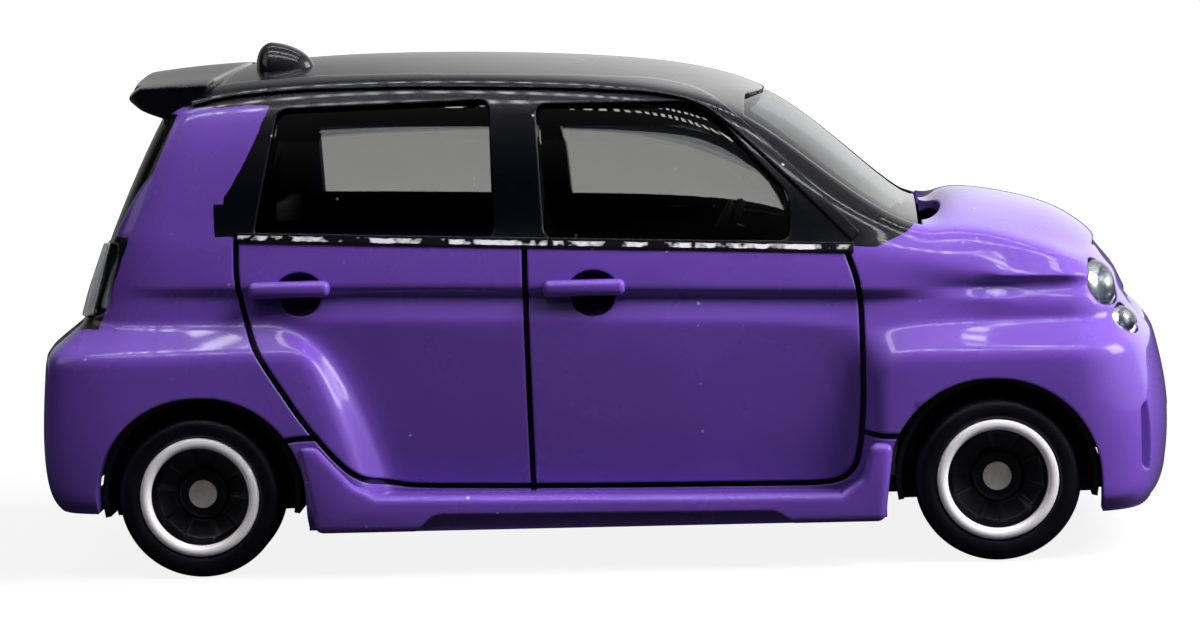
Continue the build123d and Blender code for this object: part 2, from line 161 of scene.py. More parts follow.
def prism(name, corners, place, along, rounding=0, segments=4):
    block = flatFace(name, corners, place, rounding, segments)
    editWhole(block, "FACE")
    bpy.ops.mesh.extrude_region_move(TRANSFORM_OT_translate={"value": Vector(along) * mm})
    bpy.ops.mesh.select_all(action="SELECT")
    bpy.ops.mesh.normals_make_consistent(inside=False)
    editDone()
    return block


def cut(piece, tool, operation="DIFFERENCE", keep=False):
    # where the two surfaces meet badly and nothing is left, the tool is nudged a little and tried again
    # the tool's faces keep their material's number, so both need the same slots
    while len(tool.data.materials) < len(piece.data.materials):
        tool.data.materials.append(None)
    before = piece.data.copy()
    for nudge in (0, 0.013, 0.029, -0.041):
        tool.data.transform(Matrix.Translation(Vector((nudge, nudge * 0.7, nudge * 0.9)) * mm))
        applyModifier(piece, "BOOLEAN", object=tool, operation=operation, solver="EXACT")
        if len(piece.data.polygons) > (5 if operation == "INTERSECT" else 0.6 * len(before.polygons)):
            break
        print("nudged", piece.name, tool.name)
        piece.data = before.copy()
    if not keep:
        bpy.data.objects.remove(tool)


def lathe(name, profile, steps=72):
    # a closed section in rows of (radius, depth in from the wheel's face), spun about Y
    deselectAll()
    bpy.ops.mesh.primitive_circle_add(vertices=len(profile))
    piece = bpy.context.object
    piece.name = name
    for vertex, (radius, depth) in zip(piece.data.vertices, profile):
        vertex.co = Vector((0, depth, radius)) * mm
    editWhole(piece)
    bpy.ops.mesh.spin(steps=steps, angle=math.tau, center=(0, 0, 0), axis=(0, 1, 0))
    editDone()
    mergeAndFaceOut(piece)
    return piece


# ---- Camera ------------------------------------------------------------------------------------
cameraView = {"place": (0.013, -0.2125, 0.038), "lens": 116.27, "yaw": -0.0633, "pitch": -0.1210, "roll": -0.0333}


def addCamera():
    yaw, pitch, roll = cameraView["yaw"], cameraView["pitch"], cameraView["roll"]
    forward = Vector((math.sin(yaw) * math.cos(pitch), math.cos(yaw) * math.cos(pitch), math.sin(pitch)))
    right = forward.cross(Vector((0, 0, 1))).normalized()
    up = right.cross(forward)
    across = math.cos(roll) * right + math.sin(roll) * up
    above = -math.sin(roll) * right + math.cos(roll) * up
    turn = Matrix((across, above, -forward)).transposed().to_4x4()
    data = bpy.data.cameras.new("photoCamera")
    camera = bpy.data.objects.new("photoCamera", data)
    bpy.context.scene.collection.objects.link(camera)
    camera.matrix_world = Matrix.Translation(Vector(cameraView["place"])) @ turn
    data.sensor_width = 36
    data.lens = cameraView["lens"]
    data.clip_start = 0.01
    bpy.context.scene.camera = camera


addCamera()
bpy.context.scene.view_settings.view_transform = "Standard"
print("camera placed")

# ---- Body skin ---------------------------------------------------------------------------------
# All in millimetres, for one side; the other is its mirror image. Rows run up the flank and columns
# run from the tail to the nose.
body = {
    "wall": 1.1,
    "lowerX": [-21.0, -14.9, -13.7, -7, 0, 7, 10.6, 13.4, 14.7, 17.0, 19.5, 22.0, 24.2],
    "upperX": [-22.0, -17.4, -16.1, -9, -1, 6, 10.6, 13.4, 15.0, 17.6, 20.0, 22.4, 24.2],
    "roofX": [-19.6, -16.2, -13.0, -8, -1.5, 4.3, 8.2, 11.2, 14.3, 17.1, 18.6, 21.0, 23.3],
}
# each row: which columns, the tail and nose columns, heights and half widths along X
flankRows = [
    {"x": "lowerX", "slant": 3.1, "tail": (-28.6, -26.6), "nose": (26.0, 28.0),
     "z": [(-30, 3.5), (-24.5, 3.5), (-20, 2.6), (30, 2.6)],
     "skin": [(-30, 10.4), (0, 10.9), (30, 10.1)], "flare": [(-28.6, 11.6), (-26.6, 12.4), (0, 12.6), (26, 12.1), (28, 11.2)]},
    {"x": "lowerX", "slant": 2.9, "tail": (-29.2, -26.7), "nose": (26.2, 28.5),
     "z": [(-30, 4.3), (-24.5, 4.3), (-20, 3.3), (30, 3.3)],
     "skin": [(-30, 10.7), (0, 11.35), (30, 10.5)], "flare": [(-29.2, 12.3), (-26.7, 12.95), (0, 13.2), (26.2, 12.7), (28.5, 11.7)]},
    {"x": "lowerX", "slant": 1.7, "tail": (-29.4, -26.7), "nose": (26.2, 28.7),
     "z": [(-30, 7.6), (30, 7.4)],
     "skin": [(-30, 11.15), (0, 11.85), (30, 10.95)], "flare": [(-29.4, 12.4), (-26.7, 13.1), (0, 13.3), (26.2, 12.8), (28.7, 11.8)]},
    {"x": "lowerX", "slant": 0, "tail": (-29.0, -26.5), "nose": (25.9, 27.9),
     "z": [(-30, 11.9), (-12, 11.9), (10, 11.3), (14, 11.0), (30, 11.1)],
     "skin": [(-30, 11.4), (0, 12.1), (30, 11.1)], "flare": [(-29.0, 12.1), (-26.5, 12.8), (0, 13.15), (26, 12.5), (27.9, 11.3)]},
    {"x": "upperX", "slant": 0, "tail": (-27.3, -25.6), "nose": (25.6, 27.2),
     "z": [(-30, 13.5), (-12, 13.5), (10, 12.9), (14.5, 12.3), (17, 12.7), (30, 12.5)],
     "skin": [(-27.3, 10.6), (-25.6, 11.35), (-12, 12.0), (0, 12.05), (15, 11.75), (25.6, 10.9), (27.2, 10.0)]},
    {"x": "upperX", "slant": 0, "tail": (-26.9, -25.3), "nose": (25.4, 26.8),
     "z": [(-30, 14.95), (-12, 14.75), (15, 13.85), (30, 13.5)],
     "skin": [(-26.9, 10.5), (-25.3, 11.2), (-20, 11.4), (-12, 11.55), (0, 11.6), (15, 11.3), (21, 11.25), (25.4, 10.85), (26.8, 9.95)]},
    {"x": "upperX", "slant": 0, "tail": (-26.7, -25.2), "nose": (25.3, 26.6),
     "z": [(-30, 15.5), (-12, 15.3), (15, 14.4), (20, 14.35), (30, 14.1)],
     "skin": [(-26.7, 10.5), (-25.2, 11.2), (-20, 11.75), (-12, 12.0), (0, 12.05), (15, 11.7), (17.6, 11.2), (20, 10.8), (25.3, 10.2), (26.6, 9.6)]},
    {"x": "upperX", "slant": 0, "tail": (-25.8, -24.3), "nose": (24.9, 26.2),
     "z": [(-30, 17.7), (-18, 17.7), (0, 17.0), (14.5, 16.3), (16.9, 16.3), (17.7, 15.65), (18.6, 15.2), (20, 14.95), (30, 14.6)],
     "skin": [(-25.8, 10.45), (-24.3, 11.1), (-12, 11.7), (0, 11.75), (13.4, 11.4), (17.6, 11.35), (20, 11.25), (25.0, 10.6), (26.2, 9.75)]},
    {"x": "upperX", "slant": 0, "tail": (-25.6, -24.1), "nose": (24.6, 25.8),
     "z": [(-30, 18.3), (-18, 18.3), (0, 17.6), (14.5, 17.1), (17.6, 16.85), (20, 16.6), (24.0, 15.9), (26, 15.2)],
     "skin": [(-25.6, 10.35), (-24.1, 11.0), (-12, 11.35), (0, 11.4), (13.4, 11.0), (17.6, 10.55), (24.6, 9.9), (25.8, 9.3)]},
    {"x": "roofX", "slant": 0, "tail": (-24.2, -22.8), "nose": (24.4, 25.6),
     "z": [(-30, 21.6), (4.3, 21.6), (7.9, 20.9), (10.9, 19.7), (14.0, 18.2), (16.9, 17.15), (18.7, 17.15), (21, 16.95), (24.4, 16.0), (25.6, 15.5)],
     "skin": [(-24.2, 9.9), (-22.8, 10.45), (-12, 10.75), (0, 10.75), (7.9, 10.35), (10.9, 10.45), (14, 10.45), (16.9, 10.3), (24.4, 9.5), (25.6, 8.9)]},
    {"x": "roofX", "slant": 0, "tail": (-22.7, -21.4), "nose": (24.2, 25.4),
     "z": [(-30, 24.6), (4.3, 24.5), (7.9, 23.4), (10.9, 21.2), (14.0, 18.85), (16.9, 17.3), (18.7, 17.45), (21, 17.2), (24.2, 16.2), (25.4, 15.7)],
     "skin": [(-22.7, 9.1), (-21.4, 9.6), (-12, 9.85), (0, 9.85), (4.3, 9.6), (7.9, 9.1), (10.9, 9.4), (14, 9.7), (16.9, 9.9), (24.2, 9.0), (25.4, 8.4)]},
    {"x": "roofX", "slant": 0, "tail": (-22.4, -21.0), "nose": (24.0, 25.2),
     "z": [(-23, 25.1), (-19.6, 25.65), (-12, 25.95), (-4, 25.85), (1, 25.5), (4.3, 25.15), (7.9, 23.95), (10.9, 21.7), (14.0, 19.2), (16.9, 17.4), (18.7, 17.65), (21, 17.4), (24, 16.45), (25.2, 15.9)],
     "skin": [(-22.4, 8.2), (-21.0, 8.6), (-12, 8.85), (0, 8.85), (4.3, 8.6), (7.9, 8.2), (10.9, 8.6), (14, 9.0), (16.9, 9.3), (24.0, 8.2), (25.2, 7.6)]},
]
# the middle of the roof, windscreen and bonnet, at the same columns as the last row
middleLine = {
    "x": [-22.9, -21.2, -19.6, -16.2, -13.0, -8, -1.5, 4.6, 8.9, 12.0, 15.3, 17.6, 18.3, 21.2, 24.2, 25.9, 26.9],
    "z": [25.3, 26.1, 26.5, 26.74, 26.84, 26.8, 26.5, 25.9, 24.7, 22.35, 19.3, 17.5, 18.75, 18.4, 17.7, 16.7, 15.8],
}
tailMiddleX = [-29.7, -30.4, -30.5, -30.1, -28.0, -27.6, -27.4, -26.6, -26.4, -24.9, -23.4]
noseMiddleX = [29.5, 30.2, 30.6, 29.7, 28.6, 28.0, 27.8, 27.3, 26.9, 26.7, 26.5]



# creased lines: row or column, its first and last column or row, crease
flankRowCreases = [
    (1, 0, 16, 0.45), (3, 0, 3.4, 0.55), (3, 10, 16, 0.5), (4, 0, 16, 0.5),
    (5, 1.5, 13, 0.55), (6, 1.5, 13, 0.55), (7, 11.6, 16, 0.55), (8, 11.6, 16, 0.62), (11, 2, 8, 0.25),
]
flankColumnCreases = [(3, 0, 4, 0.42), (4, 0, 4, 0.42), (9, 0, 3, 0.4), (10, 0, 3, 0.4), (0, 1, 4, 0.3)]
endRowCreases = [(3, 0, 4, 0.5), (4, 0, 4, 0.5)]


def along(keys, x):
    return float(np.interp(x, [key[0] for key in keys], [key[1] for key in keys]))


def flankPoint(row, column):
    xs = [row["tail"][0], row["tail"][1], *body[row["x"]], row["nose"][0], row["nose"][1]]
    x = xs[column]
    if column in (3, 4):
        x += row["slant"]
    flared = "flare" in row and (column <= 3 or column >= 10)
    return (x, -along(row["flare" if flared else "skin"], x), along(row["z"], x))


def endSheet(name, flankLine, topStrip, middleX, shares):
    points = []
    for index, share in enumerate(shares):
        line = []
        for row, corner in enumerate(flankLine[:-1]):
            x = middleX[row] + (corner[0] - middleX[row]) * share ** 3
            line.append((x, corner[1] * share, corner[2]))
        points.append(line + [topStrip[index]])
    return gridSheet(name, points, endRowCreases)


def bodySkin(levels):
    flank = [[flankPoint(row, column) for row in flankRows] for column in range(17)]
    shares = [1, 0.8, 0.55, 0.28, 0]
    top = []
    for column, line in enumerate(flank):
        edge = line[-1]
        middle = (middleLine["x"][column], 0, middleLine["z"][column])
        top.append([
            (middle[0] + (edge[0] - middle[0]) * share ** 2.1, edge[1] * share,
             middle[2] + (edge[2] - middle[2]) * share ** 2.1)
            for share in shares
        ])
    sheets = [
        gridSheet("flank", flank, flankRowCreases, flankColumnCreases),
        gridSheet("top", top),
        endSheet("tail", flank[0], top[0], tailMiddleX, shares),
        endSheet("nose", flank[16], top[16], noseMiddleX, shares),
    ]
    skin = joinPieces(sheets, "bodySkin")
    mergeAndFaceOut(skin, 0.02)
    applyModifier(skin, "MIRROR", use_axis=(False, True, False), use_clip=True, merge_threshold=0.02 * mm)
    applyModifier(skin, "SUBSURF", levels=levels, render_levels=levels)
    return skin


def closedForm(name, levels, inset, floorZ):
    # the skin drawn in by about inset all round, towards the middle of its underside, and closed at floorZ
    form = bodySkin(levels)
    form.name = name
    bottom = Vector((0, 0, 2.6)) * mm
    shares = (1 - inset / 30.4, 1 - inset / 12.3, 1 - inset / 24.2)
    form.data.transform(Matrix.Translation(bottom) @ Matrix.Diagonal((*shares, 1)) @ Matrix.Translation(-bottom))
    editWhole(form)
    bpy.ops.mesh.select_all(action="DESELECT")
    bpy.ops.mesh.select_non_manifold(extend=False)
    bpy.ops.mesh.extrude_region_move()
    editDone()
    for vertex in form.data.vertices:
        if vertex.select:
            vertex.co.z = floorZ * mm
    bpy.ops.object.mode_set(mode="EDIT")
    bpy.ops.mesh.edge_face_add()
    editDone()
    mergeAndFaceOut(form, 0.0001)
    return form


# ---- Cuts in the casting -----------------------------------------------------------------------
axles = {"front": 20.8, "rear": -21.2, "z": 4.35}
doors = {
    "width": 0.3,
    "rear": [(-18.8, 17.95), (-18.83, 15.4), (-18.07, 12.5), (-15.35, 8.2), (-12.95, 5.35), (-10.5, 4.6), (-3.55, 4.45)],
    "pillar": [(-3.6, 17.45), (-3.55, 4.2)],
    "front": [(-3.55, 4.45), (12.5, 4.2), (13.6, 5.2), (13.95, 8.8), (13.9, 14.5), (13.1, 16.75)],
    # where the flares end on the sills
    "rearSeam": [(-17.2, 7.2), (-15.9, 7.5), (-14.6, 7.5)],
    "frontSeam": [(13.9, 7.0), (15.0, 6.85), (16.6, 6.85)],
}
tailSkirt = {"z": 3.6, "x": -25.4}
windows = {
    "rear": [(-17.9, 17.95), (-16.55, 24.55), (-5.3, 24.75), (-5.15, 17.6)],
    "front": [(-2.55, 17.55), (-2.9, 24.45), (5.2, 24.35), (6.7, 23.4), (10.3, 19.4), (10.3, 17.05)],
}
screenFaces = {
    "windscreen": [(-9.75, 16.95), (-8.3, 24.35), (8.3, 24.35), (9.75, 16.95)],
}
# the tailgate's glass wraps round both corners: a side view, and how far it reaches to each side
rearGlass = {"side": [(-32, 17.5), (-24.9, 17.5), (-21.95, 24.4), (-32, 24.4)], "half": 10.2}


def bandCorners(path, width, softenings=3):
    # the outline of a band that follows a path, with the path's corners softened
    points = [Vector(point) for point in path]
    for _ in range(softenings):
        softened = [points[0]]
        for here, after in zip(points, points[1:]):
            span = min(0.25 * (after - here).length, 0.7)
            step = (after - here).normalized() * span
            softened += [here + step, after - step]
        points = softened + [points[-1]]
    rims = ([], [])
    for i, here in enumerate(points):
        before = (here - points[i - 1]).normalized() if i else (points[1] - here).normalized()
        after = (points[i + 1] - here).normalized() if i < len(points) - 1 else before
        aside = Vector((-before.y - after.y, before.x + after.x)) / (1 + before.dot(after)) * width / 2
        rims[0].append(here + aside)
        rims[1].append(here - aside)
    return [tuple(point) for point in rims[0] + rims[1][::-1]]


def acrossCar(name, corners, rounding=0):
    # a side view as a block through both flanks
    return prism(name, corners, lambda x, z: (x, -20, z), (0, 40, 0), rounding)


def onRight(name, corners, inner, outer, rounding=0, segments=4):
    # a side view on the right flank only
    return prism(name, corners, lambda x, z: (x, -inner, z), (0, inner - outer, 0), rounding, segments)


def rearOpening(half):
    return prism("rearOpening", rearGlass["side"], lambda x, z: (x, -half, z), (0, 2 * half, 0))


def ball(name, centre, radii, segments=48):
    deselectAll()
    bpy.ops.mesh.primitive_uv_sphere_add(segments=segments, ring_count=segments // 2, radius=1)
    sphere = bpy.context.object
    sphere.name = name
    sphere.data.transform(Matrix.Translation(Vector(centre) * mm) @ Matrix.Diagonal((*(Vector(radii) * mm), 1)))
    return sphere


def archCorners(x):
    # round, but a little wider on the side towards the middle of the car
    corners = []
    for degrees in range(0, 181, 4):
        turn = math.radians(degrees)
        facing = max(0, -math.cos(turn) * math.copysign(1, x))
        radius = arches["radius"] + arches["wider"] * facing
        corners.append((x + radius * math.cos(turn), axles["z"] + radius * math.sin(turn)))
    return [(corners[0][0] + 0.1, -1)] + corners + [(corners[-1][0] - 0.1, -1)]


arches = {"radius": 5.38, "wider": 0.4, "inner": 8.8, "outer": 20}
lampPlaces = {
    "head": ((26.2, -8.3, 13.75), (1.1, 1.9, 1.55)),
    "side": ((27.3, -8.6, 11.95), (1.1, 1.5, 0.95)),
}
cowlTrough = {"side": [(15.0, 16.2), (16.5, 16.3), (16.9, 19.5), (15.0, 19.5)],
              "hollow": ((16.3, 4.7, 18.1), (2.0, 4.5, 1.7))}
tailLampBack = [(-11.0, 13.9), (-10.7, 17.8), (-9.3, 17.8), (-9.5, 13.9)]
grilleFront = [(-5.4, 11.7), (-5.4, 13.3), (5.4, 13.3), (5.4, 11.7)]
intakeFront = [(-6.6, 4.2), (-5.8, 7.1), (5.8, 7.1), (6.6, 4.2)]
handles = {"length": 4.3, "height": 0.85, "fronts": (-13.85, 1.65), "z": (15.25, 14.95), "cupX": (-15.5, -0.05)}
sill = {
    "side": [(-15.0, 2.4), (-15.85, 7.1), (-14.75, 7.15), (-12.9, 5.0), (-11.7, 4.35), (5.3, 4.05), (12.6, 3.95),
             (13.7, 4.7), (14.2, 6.55), (15.4, 6.5), (14.9, 2.4)],
    "scoop": [(-10.7, 1.5), (-8.7, 3.35), (9.3, 3.15), (11.3, 1.5)],
}


def inShade(tool):
    # what this tool cuts takes the casting's second material, the unlit one
    for _ in range(2):
        tool.data.materials.append(None)
    for polygon in tool.data.polygons:
        polygon.material_index = 1
    return tool


def makeCasting():
    casting = closedForm("body_casting", 3, 0, 2.5)
    for _ in range(2):
        casting.data.materials.append(None)
    for path in ("rear", "pillar", "front", "rearSeam", "frontSeam"):
        cut(casting, inShade(acrossCar("slit", bandCorners(doors[path], doors["width"]))))
    cut(casting, inShade(closedForm("grooveFloor", 2, 0.45, 2.9)), "UNION")
    below = [(-34, -1), (-34, tailSkirt["z"]), (tailSkirt["x"], tailSkirt["z"]), (tailSkirt["x"], -1)]
    cut(casting, acrossCar("below", below))
    print("doors cut")
    for end in ("rear", "front"):
        for side in (-1, 1):
            arch = prism("arch", archCorners(axles[end]), lambda x, z: (x, side * arches["inner"], z),
                         (0, side * arches["outer"], 0))
            cut(casting, arch)
    # the cowl's trough, handle cups, lamp pockets and the bumper's corner slots
    cowl = prism("cowl", cowlTrough["side"], lambda x, z: (x, -8.9, z), (0, 17.8, 0))
    cut(casting, cowl)
    for side in (-1, 1):
        hollow, radii = cowlTrough["hollow"]
        cut(casting, ball("hollow", (hollow[0], side * hollow[1], hollow[2]), radii))
        for centre, radii in lampPlaces.values():
            cut(casting, ball("pocket", (centre[0], centre[1] * -side, centre[2]), [r + 0.12 for r in radii]))
        for x, z in zip(handles["cupX"], handles["z"]):
            cut(casting, inShade(ball("cup", (x, side * 12.05, z - 0.3), (1.4, 0.9, 1.25))))
    slot = prism("slot", [(28.3, 4.6), (28.3, 8.0), (29.1, 8.2), (29.2, 4.4)], lambda x, z: (x, -20, z), (0, 9.2, 0), 0.3)
    cut(casting, copyOf(slot, "slotLeft", True))
    cut(casting, slot)
    cut(casting, inShade(closedForm("cavity", 2, body["wall"], -2)))
    print("cavity cut")
    for end in ("rear", "front"):
        cut(casting, acrossCar("hole", windows[end], 0.5))
    cut(casting, prism("hole", screenFaces["windscreen"], lambda y, z: (8, y, z), (9.2, 0, 0), 0.8))
    cut(casting, rearOpening(rearGlass["half"]))
    for front in (grilleFront, intakeFront):
        cut(casting, prism("hole", front, lambda y, z: (23, y, z), (9, 0, 0), 0.3))
    tailLamp = prism("hole", tailLampBack, lambda y, z: (-30, y, z), (4.8, 0, 0), 0.4)
    cut(casting, copyOf(tailLamp, "hole", True))
    cut(casting, tailLamp)
    return casting


casting = makeCasting()
print("casting", len(casting.data.vertices), len(casting.data.polygons))


# ---- Sills and handles -------------------------------------------------------------------------
def makeSill():
    plank = onRight("sill_right", sill["side"], 10.6, 13.3)
    applyModifier(plank, "BEVEL", width=0.42 * mm, segments=4, limit_method="ANGLE", angle_limit=math.radians(40))
    cut(plank, onRight("scoop", sill["scoop"], 12.8, 14.5, 0.4))
    smoothByAngle(plank)
    return plank


def makeHandle(name, front, z):
    deselectAll()
    bpy.ops.mesh.primitive_cube_add(size=1)
    bar = bpy.context.object
    bar.name = name
    bar.data.transform(Matrix.Translation(Vector((front - handles["length"] / 2, -11.95, z)) * mm)
                       @ Matrix.Diagonal((handles["length"] * mm, 1.1 * mm, handles["height"] * mm, 1)))
    applyModifier(bar, "BEVEL", width=0.33 * mm, segments=4)
    smoothByAngle(bar, 50)
    return bar


trims = [makeSill()]
for front, z, name in zip(handles["fronts"], handles["z"], ("handle_rear_right", "handle_front_right")):
    trims.append(makeHandle(name, front, z))
trims += [copyOf(piece, piece.name.replace("right", "left"), True) for piece in trims]
print("sills and handles made")
# ---- Glazing -----------------------------------------------------------------------------------
pane = {"below": 0.3, "lining": 1.25, "back": 1.85, "seat": 0.985, "start": 8.0, "flush": 0.12}


def shrunk(corners, share):
    # an outline drawn in towards its middle, so that a pane drops into its opening
    middle = [sum(corner[i] for corner in corners) / len(corners) for i in (0, 1)]
    return [tuple(middle[i] + (corner[i] - middle[i]) * share for i in (0, 1)) for corner in corners]


def makeGlass():
    # side panes and screens, held together by a thin lining inside the casting
    sides = []
    for end in ("rear", "front"):
        sides.append(onRight("opening", shrunk(windows[end], pane["seat"]), pane["start"], 16, 0.5))
        sides.append(copyOf(sides[-1], "opening", True))
    windscreen = prism("opening", shrunk(screenFaces["windscreen"], pane["seat"]), lambda y, z: (7, y, z), (11, 0, 0), 0.8)
    screens = [windscreen, rearOpening(rearGlass["half"] - 0.1)]
    glass = closedForm("window_glass", 2, pane["below"], 2.9)
    cut(glass, joinPieces(sides, "openings"), "INTERSECT")
    front = closedForm("screens", 2, pane["flush"], 2.9)
    cut(front, joinPieces(screens, "openings"), "INTERSECT")
    cut(glass, front, "UNION")
    cut(glass, closedForm("lining", 2, pane["lining"], 2.9), "UNION")
    cut(glass, closedForm("liningBack", 2, pane["back"], -2))
    room = prism("room", [(-28, 17.3), (-28, 27), (17.0, 27), (17.0, 17.6), (16.4, 17.0), (-20, 17.0)],
                 lambda x, z: (x, -14, z), (0, 28, 0))
    cut(glass, room, "INTERSECT")
    smoothByAngle(glass, 30)
    return glass


glass = makeGlass()
print("glass made", len(glass.data.vertices))


# ---- Lamps -------------------------------------------------------------------------------------
def makeLamp(name, centre, radii):
    # a clear bubble over a silver reflector
    lens = ball(name + "_lens_right", centre, radii)
    bowl = ball(name + "_bowl_right", (centre[0] - 0.25, centre[1], centre[2]), [r * 0.74 for r in radii], 32)
    bulb = ball(name + "_bulb_right", (centre[0] + 0.2, centre[1] - 0.1, centre[2] + 0.1), [r * 0.36 for r in radii], 24)
    cut(bowl, ball("hollow", (centre[0] + 0.75, centre[1] - 0.5, centre[2] + 0.1), [r * 0.72 for r in radii], 32))
    for piece in (lens, bowl, bulb):
        smoothByAngle(piece, 40)
    return lens, bowl, bulb


def makeTailLamp():
    lens = closedForm("tail_lens_right", 2, -0.16, 2.9)
    seat = prism("seat", shrunk(tailLampBack, 0.97), lambda y, z: (-32, y, z), (6.3, 0, 0), 0.4)
    cut(lens, seat, "INTERSECT")
    cut(lens, acrossCar("slant", [(-33, 13.0), (-27.0, 13.0), (-25.6, 18.0), (-33, 18.0)]), "INTERSECT")
    core = closedForm("tail_core_right", 2, 0.5, 2.9)
    seat = prism("seat", shrunk(tailLampBack, 0.8), lambda y, z: (-32, y, z), (6.4, 0, 0), 0.3)
    cut(core, seat, "INTERSECT")
    for piece in (lens, core):
        smoothByAngle(piece, 30)
    return lens, core


headLens, headBowl, headBulb = makeLamp("head", *lampPlaces["head"])
sideLens, sideBowl, sideBulb = makeLamp("side", *lampPlaces["side"])
tailLens, tailCore = makeTailLamp()
lampLenses = [headLens, sideLens, tailLens]
lampSilver = [headBowl, headBulb, sideBowl, sideBulb, tailCore]
lampLenses += [copyOf(piece, piece.name.replace("right", "left"), True) for piece in lampLenses]
lampSilver += [copyOf(piece, piece.name.replace("right", "left"), True) for piece in lampSilver]
print("lamps made")


# ---- Roof spoiler and fin ----------------------------------------------------------------------
spoiler = {
    # the closed section (x, z) at the middle, over the shoulder and at the end
    "middle": [(-25.96, 24.95), (-25.7, 25.7), (-24.95, 26.2), (-22.4, 26.5), (-19.3, 26.62), (-19.2, 26.1),
               (-21.8, 25.2), (-23.0, 24.75), (-25.4, 24.6)],
    "shoulder": [(-24.95, 25.05), (-24.75, 25.6), (-24.1, 25.95), (-22.1, 26.14), (-20.0, 26.24), (-19.9, 25.7),
                 (-21.4, 25.0), (-22.5, 24.5), (-24.3, 24.6)],
    "end": [(-24.45, 25.4), (-24.3, 25.6), (-23.87, 25.84), (-22.0, 25.9), (-20.3, 25.94), (-20.4, 25.3),
            (-21.8, 24.7), (-22.25, 24.0), (-23.7, 24.55)],
    "stations": [(0, 0), (0.45, 3.0), (0.9, 5.6), (1.25, 7.8), (1.65, 8.65), (2, 9.05)],
}


def sectionAt(mix):
    names = ("middle", "shoulder", "end")
    low = min(int(mix), 1)
    share = mix - low
    pairs = zip(spoiler[names[low]], spoiler[names[low + 1]])
    return [(a[0] + (b[0] - a[0]) * share, a[1] + (b[1] - a[1]) * share) for a, b in pairs]


def makeSpoiler():
    columns = []
    for mix, y in spoiler["stations"]:
        section = sectionAt(mix)
        columns.append([(x, -y, z) for x, z in section + section[:1]])
    end = columns[-1]
    middle = [sum(point[i] for point in end[:-1]) / (len(end) - 1) for i in range(3)]
    columns.append([tuple(middle[i] + (point[i] - middle[i]) * 0.5 for i in range(3)) for point in end])
    columns.append([tuple(middle)] * len(end))
    rowCreases = [(2, 0, 6, 0.6), (4, 0, 6, 0.6), (7, 0, 6, 0.5), (8, 0, 6, 0.4), (0, 0, 6, 0.3)]
    wing = gridSheet("spoiler_wing", columns, rowCreases, [(5, 0, 9, 0.75)])
    mergeAndFaceOut(wing, 0.01)
    applyModifier(wing, "MIRROR", use_axis=(False, True, False), use_clip=True, merge_threshold=0.02 * mm)
    applyModifier(wing, "SUBSURF", levels=3, render_levels=3)
    mergeAndFaceOut(wing, 0.0005)
    smoothByAngle(wing, 50)
    return wing


finShape = {"place": (-17.35, -4.2, 26.1), "ahead": 2.2, "behind": 1.0, "above": 1.74, "below": 0.6, "half": 1.12}


def makeFin():
    # a ball drawn out to a teardrop, steep behind and sloping ahead
    fin = ball("antenna_blade", (0, 0, 0), (1, 1, 1), 48)
    foot = Vector(finShape["place"])
    for vertex in fin.data.vertices:
        x, y, z = vertex.co / mm
        upward = max(z, 0) ** 0.8
        along = x * finShape["ahead" if x > 0 else "behind"] - 0.12 * upward
        rise = upward * finShape["above"] * (1 - 0.1 * max(x, 0)) + min(z, 0) * finShape["below"]
        vertex.co = (foot + Vector((along, y * finShape["half"] * (1 - 0.25 * upward), rise))) * mm
    smoothByAngle(fin, 50)
    return fin


wing = makeSpoiler()
fin = makeFin()
print("spoiler and fin made")


# ---- Wheels ------------------------------------------------------------------------------------
wheel = {
    "face": 12.4, "steps": 96,
    "tyre": [(0.8, 3.28), (3.9, 3.3), (4.2, 3.15), (4.35, 2.9), (4.35, 0.75), (4.28, 0.42), (4.12, 0.2), (3.85, 0.08),
             (3.5, 0.05), (3.35, 0.12), (3.25, 0.16), (3.2, 0.3), (3.14, 0.34), (2.7, 0.34), (2.63, 0.5), (2.5, 1.2),
             (2.35, 1.45), (1.5, 1.75), (1.4, 1.6), (1.25, 1.42), (0.95, 1.4), (0.74, 1.45), (0.74, 3.2)],
    "ring": [(2.6, 0.45), (2.62, 0.22), (2.68, 0.08), (2.8, 0), (3.06, 0.02), (3.15, 0.1), (3.18, 0.32), (2.9, 0.36)],
    "spokes": 5, "spokeRoot": 1.45, "spokeTip": 2.46, "spokeLift": 0.2,
}


def makeTyre(name):
    # the solid wheel and tyre in one, with five broad spokes raised in the dish
    tyre = lathe(name, wheel["tyre"], wheel["steps"])
    applyModifier(tyre, "BEVEL", width=0.05 * mm, segments=2, limit_method="ANGLE", angle_limit=math.radians(35))
    for vertex in tyre.data.vertices:
        x, y, z = vertex.co / mm
        radius = math.hypot(x, z)
        if wheel["spokeRoot"] < radius < wheel["spokeTip"] and y < 2.2:
            turn = (math.atan2(z, x) / math.tau * wheel["spokes"]) % 1
            rise = min(max((0.33 - abs(turn - 0.5)) * 14, 0), 1)
            vertex.co.y -= rise * wheel["spokeLift"] * mm
    smoothByAngle(tyre, 32)
    return tyre


def makeRing(name):
    ring = lathe(name, wheel["ring"], wheel["steps"])
    smoothByAngle(ring, 40)
    return ring


